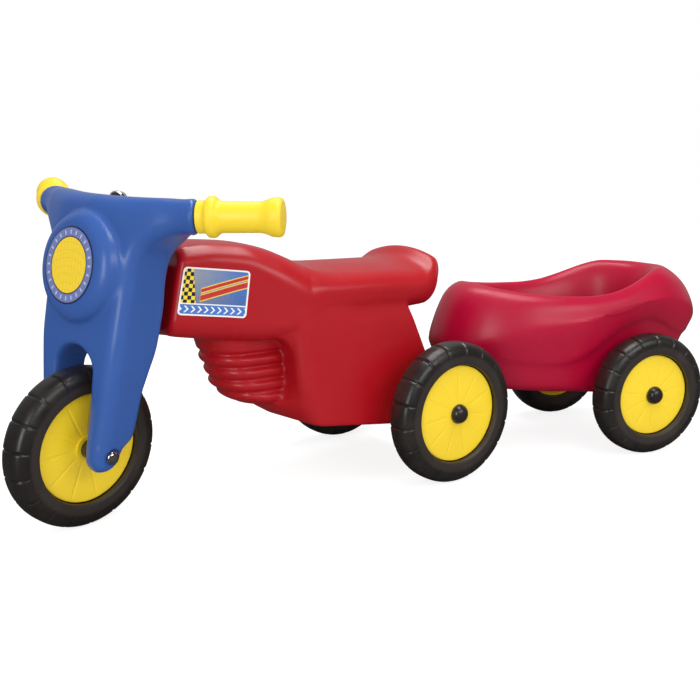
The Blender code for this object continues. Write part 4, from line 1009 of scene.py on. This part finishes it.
# Each ring: front end, rear end, half width, squareness, heights, lift, and 1 for a crease.
TUB_RINGS = (
    (-205, 74, 56, 2.6, FLOOR, 0, 0), (-222, 86, 68, 2.6, FLOOR, 2, 0),
    (-236, 96, 79, 2.6, FLOOR, 10, 0), (-254, 123, 88, 2.4, CREASE, -9, 0),
    (-258, 131, 94, 2.3, CREASE, 0, 1), (-260, 139, 106, 2.2, BULGE, 0, 0),
    (-240, 122, 105, 2.2, RIM, -26, 0), (-225, 97, 99, 2.2, RIM, -8, 0),
    (-210, 77, 91, 2.2, RIM, 0, 0), (-201, 66, 83, 2.2, RIM, -4, 0),
    (-196, 56, 76, 2.3, RIM, -20, 0), (-190, 47, 68, 2.4, BULGE, -40, 0),
    (-181, 38, 58, 2.5, FLOOR, 32, 0), (-160, 24, 40, 2.5, FLOOR, 29, 0))
print("rim height at the saddle", RIM(-100), "and at the back", RIM(60))


# %% Rings of the tub and the spline between them
def tub_ring(front, rear, half, power, heights, lift):
    angle = even_angles(TUB_COUNT)
    c, s = np.cos(angle), np.sin(angle)
    behind = (front + rear) / 2 + (rear - front) / 2 * np.sign(c) * np.abs(c) ** (2 / power)
    across = half * np.sign(s) * np.abs(s) ** (2 / power)
    return np.stack([-AXLE_BEHIND - behind, across, heights(behind) + lift], 1)


def spline_between(rings, steps):
    """Rings in between, on a spline that breaks its tangent at the rings marked as creases."""
    shapes = [tub_ring(*ring[:6]) for ring in rings]
    marks = [ring[6] for ring in rings]
    out = [shapes[0]]
    for i in range(len(shapes) - 1):
        p1, p2 = shapes[i], shapes[i + 1]
        p0 = shapes[i - 1] if i > 0 and not marks[i] else 2 * p1 - p2
        p3 = shapes[i + 2] if i + 2 < len(shapes) and not marks[i + 1] else 2 * p2 - p1
        d1, d2, d3 = [np.linalg.norm(step, axis=1, keepdims=True) ** 0.5 + 1e-6
                      for step in (p1 - p0, p2 - p1, p3 - p2)]
        m1 = d2 * ((p1 - p0) / d1 - (p2 - p0) / (d1 + d2) + (p2 - p1) / d2)
        m2 = d2 * ((p2 - p1) / d2 - (p3 - p1) / (d2 + d3) + (p3 - p2) / d3)
        for k in range(1, steps + 1):
            t = k / steps
            out.append((2 * t ** 3 - 3 * t ** 2 + 1) * p1 + (t ** 3 - 2 * t ** 2 + t) * m1
                       + (-2 * t ** 3 + 3 * t ** 2) * p2 + (t ** 3 - t ** 2) * m2)
    return out


tub_rows = spline_between(TUB_RINGS, RING_STEPS)
foot = np.repeat([[-AXLE_BEHIND + 60, 0, float(FLOOR(-60))]], TUB_COUNT, 0)
well = np.repeat([[-AXLE_BEHIND + 68, 0, float(FLOOR(-68)) + 27]], TUB_COUNT, 0)
tub_rows = [foot] + [foot + (tub_rows[0] - foot) * t for t in (0.5, 0.8)] + tub_rows
tub_rows += [tub_rows[-1] + (well - tub_rows[-1]) * t for t in (0.4, 0.75)] + [well]
points, faces = merge_poles(np.concatenate(tub_rows), ring_faces(len(tub_rows), TUB_COUNT))
outward(add_piece("tub_moulding", points, faces, TRAILER, CRIMSON, "trailer",
                  ["trailer_tub"]))
print("tub moulding:", len(points), "points")

# %% [markdown]
# ## Printed labels
# Stickers are printed film. Their pattern is drawn with shader maths over flat coordinates that
# the mesh stores, so it stays sharp at any distance. The design is a plain one of its own: a
# blue field with fine dots, a chequered end, two slanted red bands and a row of chevrons below.

# %% Tank label print
LABEL_WIDE, LABEL_TALL = 72.0, 49.0


def tank_print_group():
    """Pattern of the tank label over its flat coordinates, measured in millimetres."""
    w, given, results = start_group("tank_print", {
        "Flat": (0, 0, 0), "Blue": (0.06, 0.17, 0.5, 1), "Red": (0.5, 0.03, 0.03, 1),
        "Yellow": (0.8, 0.6, 0.05, 1), "White": (0.8, 0.8, 0.8, 1),
        "Ink": (0.02, 0.02, 0.03, 1)}, {"Colour": 4})
    flat, blue, red, yellow, white, ink = list(given)[:6]
    parts = w.node("ShaderNodeSeparateXYZ")
    w.feed(parts.inputs[0], flat)
    u, v = w.times(parts.outputs[0], LABEL_WIDE), w.times(parts.outputs[1], LABEL_TALL)

    def between(value, low, high, soft=0.25):
        rise = w.span(value, low - soft, low + soft)
        return w.times(rise, w.span(value, high - soft, high + soft, 1.0, 0.0))

    def cell(value, size):
        return w.maths("FRACT", w.maths("DIVIDE", value, size))

    def odd(value, size):
        return w.maths("MODULO", w.maths("FLOOR", w.maths("DIVIDE", value, size)), 2.0)

    colour = w.mix(w.span(u, 8.0, 64.0), (0.33, 0.35, 0.38, 1), blue)
    dot = w.length(w.less(cell(w.plus(u, v), 2.0), 0.5), w.less(cell(w.less(u, v), 2.0), 0.5))
    size = w.span(w.plus(v, w.times(u, 0.25)), 16.0, 64.0, 0.5, 0.12)
    dots = w.times(w.span(w.less(size, dot), -0.05, 0.05), 0.75)
    colour = w.mix(dots, colour, (0.05, 0.07, 0.16, 1))
    chequer = w.mix(w.apart(odd(u, 4.0), odd(v, 4.0)), ink, yellow)
    colour = w.mix(between(w.plus(u, w.times(v, 0.2)), -9.0, 20.0), colour, chequer)
    slant, inside = w.less(v, w.times(u, 0.34)), w.span(u, 21.0, 22.0)
    for low, high in ((8.0, 13.5), (16.5, 20.0)):
        colour = w.mix(w.times(between(slant, low - 1, high + 1), inside), colour, yellow)
        colour = w.mix(w.times(between(slant, low, high), inside), colour, red)
    low_band = w.span(v, 11.5, 12.0, 1.0, 0.0)
    colour = w.mix(low_band, colour, blue)
    step = cell(w.plus(u, w.apart(v, 6.5)), 7.0)
    chevron = w.times(between(step, 0.3, 0.58, 0.03), between(v, 3.2, 9.8))
    colour = w.mix(w.times(chevron, low_band), colour, white)
    colour = w.mix(between(v, 11.4, 12.6), colour, white)
    across = w.maths("MAXIMUM", w.less(w.apart(u, LABEL_WIDE / 2), 31.5), 0.0)
    up = w.maths("MAXIMUM", w.less(w.apart(v, LABEL_TALL / 2), 20.0), 0.0)
    colour = w.mix(w.span(w.length(across, up), 2.7, 3.1), colour, white)
    w.feed(results["Colour"], colour)
    return w.tree


TANK_PRINT_GROUP = tank_print_group()
print("tank print:", len(TANK_PRINT_GROUP.nodes), "nodes")


# %% Headlight print
LAMP_WIDE = 77.0


def lamp_print_group():
    """Round headlight print: a blue-grey ring with ticks round a fluted yellow lens."""
    w, given, results = start_group("lamp_print", {
        "Flat": (0, 0, 0), "Ring": (0.15, 0.19, 0.42, 1), "Lens": (0.85, 0.6, 0.03, 1),
        "Ink": (0.02, 0.02, 0.04, 1), "Shade": (0.45, 0.28, 0.02, 1)}, {"Colour": 4})
    parts = w.node("ShaderNodeSeparateXYZ")
    w.feed(parts.inputs[0], given["Flat"])
    x, y = [w.times(w.less(part, 0.5), LAMP_WIDE) for part in list(parts.outputs)[:2]]
    r = w.length(x, y)

    def ripple(value, rate):
        return w.maths("ABSOLUTE", w.maths("SINE", w.times(value, rate)))

    arc = w.length(x, w.plus(y, 40.0))
    lines = w.maths("MAXIMUM", w.span(ripple(x, 0.62), 0.0, 0.22, 1.0, 0.0),
                    w.span(ripple(arc, 0.4), 0.0, 0.16, 0.8, 0.0))
    lens = w.mix(w.times(lines, 0.55), given["Lens"], given["Shade"])
    angle = w.maths("ARCTAN2", y, x)
    ticks = w.span(w.maths("SINE", w.times(angle, 24.0)), 0.75, 0.85)
    inside = w.times(w.span(r, 30.6, 31.0), w.span(r, 34.6, 35.0, 1.0, 0.0))
    colour = w.mix(w.times(ticks, inside), given["Ring"], (0.45, 0.5, 0.72, 1))
    colour = w.mix(w.span(r, 28.5, 29.0), w.mix(w.span(r, 27.4, 27.9), lens, given["Ink"]),
                   colour)
    w.feed(results["Colour"], w.mix(w.span(r, 36.8, 37.3), colour, given["Ink"]))
    return w.tree


LAMP_PRINT_GROUP = lamp_print_group()
print("headlight print:", len(LAMP_PRINT_GROUP.nodes), "nodes")


# %% Printed film, rubbed a little by hands
def film_rubbing_group():
    w, given, results = start_group("film_rubbing", {"Least": 0.24, "Most": 0.36},
                                    {"Roughness": 1})
    cloudy = w.noise(w.place(), 160.0, 4.0, 0.6)
    w.feed(results["Roughness"], w.span(cloudy, 0.3, 0.7, given["Least"], given["Most"]))
    return w.tree


FILM_RUBBING = film_rubbing_group()


def print_material(name, group):
    material, w, sockets = new_material(name, {})
    flat = w.node("ShaderNodeUVMap", uv_map="print").outputs["UV"]
    wear(w, sockets, group, {"Flat": flat})
    rubbing = w.node("ShaderNodeGroup", node_tree=FILM_RUBBING)
    w.feed(sockets["Roughness"], rubbing.outputs["Roughness"])
    return material


def store_print(piece, flat):
    """Store the flat coordinates of each point, for the print."""
    spread = piece.data.uv_layers.new(name="print")
    for loop in piece.data.loops:
        spread.data[loop.index].uv = flat[loop.vertex_index]


TANK_PRINT = print_material("tank_print_film", TANK_PRINT_GROUP)
LAMP_PRINT = print_material("lamp_print_film", LAMP_PRINT_GROUP)
print("films:", TANK_PRINT.name, LAMP_PRINT.name)

# %% Tank labels on both sides
LABEL_TOP = (Vector((306.5, 270)), Vector((236, 262)))
LABEL_LOW = (Vector((316.5, 221)), Vector((242, 212)))
LABEL_CORNER, FILM_GAP, FILM_THICK = 4.0, 0.25, 0.35


def tank_label(node, side):
    """Thin sheet with round corners that hugs the side of the tank."""
    near = np.array([0, 0.3, 1.1, 2.4]) / LABEL_TALL
    edge = LABEL_CORNER / LABEL_TALL
    rows = np.concatenate([near, np.linspace(edge, 1 - edge, 19), 1 - near[::-1]])
    columns = np.linspace(0, 1, 37)
    points, flat = [], []
    for lift in (FILM_GAP, FILM_GAP + FILM_THICK):
        for v in rows:
            short = max(LABEL_CORNER - min(v, 1 - v) * LABEL_TALL, 0.0)
            inset = (LABEL_CORNER - math.sqrt(LABEL_CORNER ** 2 - short ** 2)) / LABEL_WIDE
            for u in inset + columns * (1 - 2 * inset):
                x, z = LABEL_LOW[0].lerp(LABEL_LOW[1], u).lerp(
                    LABEL_TOP[0].lerp(LABEL_TOP[1], u), v)
                points.append((x, side * (BODY_HALF(lean_station(x, z)) + lift), z))
                flat.append((u, v))
    index = np.arange(len(points)).reshape(2, len(rows), len(columns))
    sheets = np.stack([index[:, :-1, :-1], index[:, :-1, 1:], index[:, 1:, 1:],
                       index[:, 1:, :-1]], -1).reshape(-1, 4)
    low, high = [np.concatenate([sheet[0, :-1], sheet[:-1, -1], sheet[-1, :0:-1],
                                 sheet[:0:-1, 0]]) for sheet in index]
    rim = np.stack([low, np.roll(low, -1), np.roll(high, -1), high], -1)
    piece = add_piece(node + "_film", np.array(points), np.concatenate([sheets, rim]), BODY,
                      TANK_PRINT, "scooter_body", [node], 40)
    store_print(outward(piece), flat)


tank_label("tank_label_left", 1)
tank_label("tank_label_right", -1)
print("tank labels: 2, each about", LABEL_WIDE, "x", LABEL_TALL, "mm")

# %% Headlight label on the cone
film_rings = [(0.0, 0.65)] + [(r, 0.65) for r in np.linspace(6, 38.2, 8)]
film_rings += [(38.5, 0.4), (38.5, 0.3), (0.0, 0.3)]
matrix = (FORK @ Matrix.Translation((PLATE_FRONT + CONE_HEIGHT, 0, CONE_Z))
          @ Matrix.Rotation(math.radians(-90), 4, "Z"))
lamp = turned_piece("headlight_film", film_rings, matrix, LAMP_PRINT, "front_fork",
                    ["headlight_label"], even_angles(96))
drawn = [matrix.inverted() @ vertex.co for vertex in lamp.data.vertices]
store_print(lamp, [(0.5 - co.x / LAMP_WIDE, 0.5 + co.z / LAMP_WIDE) for co in drawn])
print("headlight label:", LAMP_WIDE, "mm across")

# %% [markdown]
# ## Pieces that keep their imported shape
# Axles, bushes, spacers, bolts, the hitch pin and the drawbar are plain machined or moulded
# pieces, mostly hidden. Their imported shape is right, so they only get their finishes.

# %% Finishes for the kept pieces
KEPT = {
    STEEL: ("hitch_pin", "rear_axle", "trailer_axle", "front_axle", "steering_pin",
            "drawbar_bolt_1", "drawbar_bolt_2"),
    BLACK: ("neck_bush_upper", "neck_bush_lower", "rear_spacer_left", "rear_spacer_right",
            "trailer_spacer_left", "trailer_spacer_right"),
    CRIMSON: ("drawbar",),
}
for material, names in KEPT.items():
    for name in names:
        for slot in frame["nodes"][name].material_slots:
            slot.material = material
print("kept pieces:", sum(len(names) for names in KEPT.values()))

# %% [markdown]
# ## Camera, floor and light
# The camera stands where the photographer's did: in front, to the rider's left and a little
# above, with a normal lens. The floor and the world are white to the camera but lit plainly,
# and big soft lamps overhead give the broad pale highlights of a studio.

# %% Camera
VIEW_WAY = (-0.5759, -0.8176)
VIEW_TILT = math.radians(10.993)
VIEW_FROM = Vector((0.6734, 0.8662, 0.3537))


def aim(made, place, way):
    made.location = place
    made.rotation_mode = "QUATERNION"
    made.rotation_quaternion = Vector(way).to_track_quat("-Z", "Y")


lens = bpy.data.cameras.new("camera")
lens.lens, lens.sensor_width = 44.29, 36
lens.clip_start, lens.clip_end = 0.02, 50
camera = new_object("camera", lens)
aim(camera, stand + VIEW_FROM,
    [part * math.cos(VIEW_TILT) for part in VIEW_WAY] + [-math.sin(VIEW_TILT)])
bpy.context.scene.camera = camera
print("camera at", [round(v, 3) for v in camera.location])


# %% Floor that is white to the camera and keeps the shadow
def make_floor(reach=6.0, sunk=0.0005):
    material, w, sockets = new_material("studio_floor", {"Specular IOR Level": 0.0})
    w.feed(sockets["Roughness"], w.span(w.noise(w.place(), 3.0), 0.3, 0.7, 0.88, 0.92))
    path = w.node("ShaderNodeLightPath").outputs
    lit = w.mix(path["Is Diffuse Ray"], (0.34, 0.34, 0.34, 1), (0.62, 0.62, 0.62, 1))
    w.feed(sockets["Base Color"], w.mix(path["Is Glossy Ray"], lit, (0.06, 0.06, 0.06, 1)))
    glow = w.result(0, "ShaderNodeEmission", {
        "Color": (1, 1, 1, 1), "Strength": w.times(path["Is Camera Ray"], 0.84)})
    surface = w.tree.nodes["Principled BSDF"].outputs[0]
    w.feed(w.tree.nodes["Material Output"].inputs["Surface"],
           w.result(0, "ShaderNodeAddShader", {0: surface, 1: glow}))
    mesh = bpy.data.meshes.new("floor")
    mesh.from_pydata([(-reach, -reach, 0), (reach, -reach, 0), (reach, reach, 0),
                      (-reach, reach, 0)], [], [(0, 1, 2, 3)])
    mesh.materials.append(material)
    floor = new_object("floor", mesh)
    floor.location.z = -sunk


make_floor()
print("floor laid")


# %% World, dimmer behind the object's back than the camera sees it
def make_world():
    world = bpy.data.worlds.new("studio")
    bpy.context.scene.world = world
    world.use_nodes = True
    w = Wiring(world.node_tree)
    back = world.node_tree.nodes["Background"].inputs
    path = w.node("ShaderNodeLightPath").outputs
    way = w.result("Value", "ShaderNodeVectorMath", {
        0: w.node("ShaderNodeTexCoord").outputs["Generated"], 1: (*VIEW_WAY, 0.0)},
        operation="DOT_PRODUCT")
    fill = w.span(way, -0.5, 0.5, 1.10, 0.50)
    backdrop = w.span(way, 0.1, 0.6, 0.05, 0.40, smooth=True)
    level = w.maths("MULTIPLY_ADD", path["Is Glossy Ray"], w.less(backdrop, fill), fill)
    back["Color"].default_value = (1, 1, 1, 1)
    w.feed(back["Strength"], w.maths("MULTIPLY_ADD", path["Is Camera Ray"],
                                     w.less(1.0, level), level))


make_world()
print("world:", bpy.context.scene.world.name)

# %% Lamps
LAMPS = {  # place, target, size and power
    "overhead": ((-0.1, 0.0, 1.5), (0, 0, 0.1), (1.6, 0.40), 13.0),
    "beside_camera": ((-0.2, 2.0, 1.1), (0, 0, 0.15), (1.4, 0.5), 9.0),
    "tall_in_front": ((1.75, 1.25, 0.6), (0.1, 0, 0.2), (0.5, 1.1), 9.0),
}
for name, (place, target, size, power) in LAMPS.items():
    light = bpy.data.lights.new(name, "AREA")
    light.shape = "RECTANGLE"
    light.size, light.size_y = size
    light.energy = power
    aim(new_object(name, light), place, Vector(target) - Vector(place))
bpy.context.scene.view_settings.view_transform = "Standard"
print("lamps:", len(LAMPS))
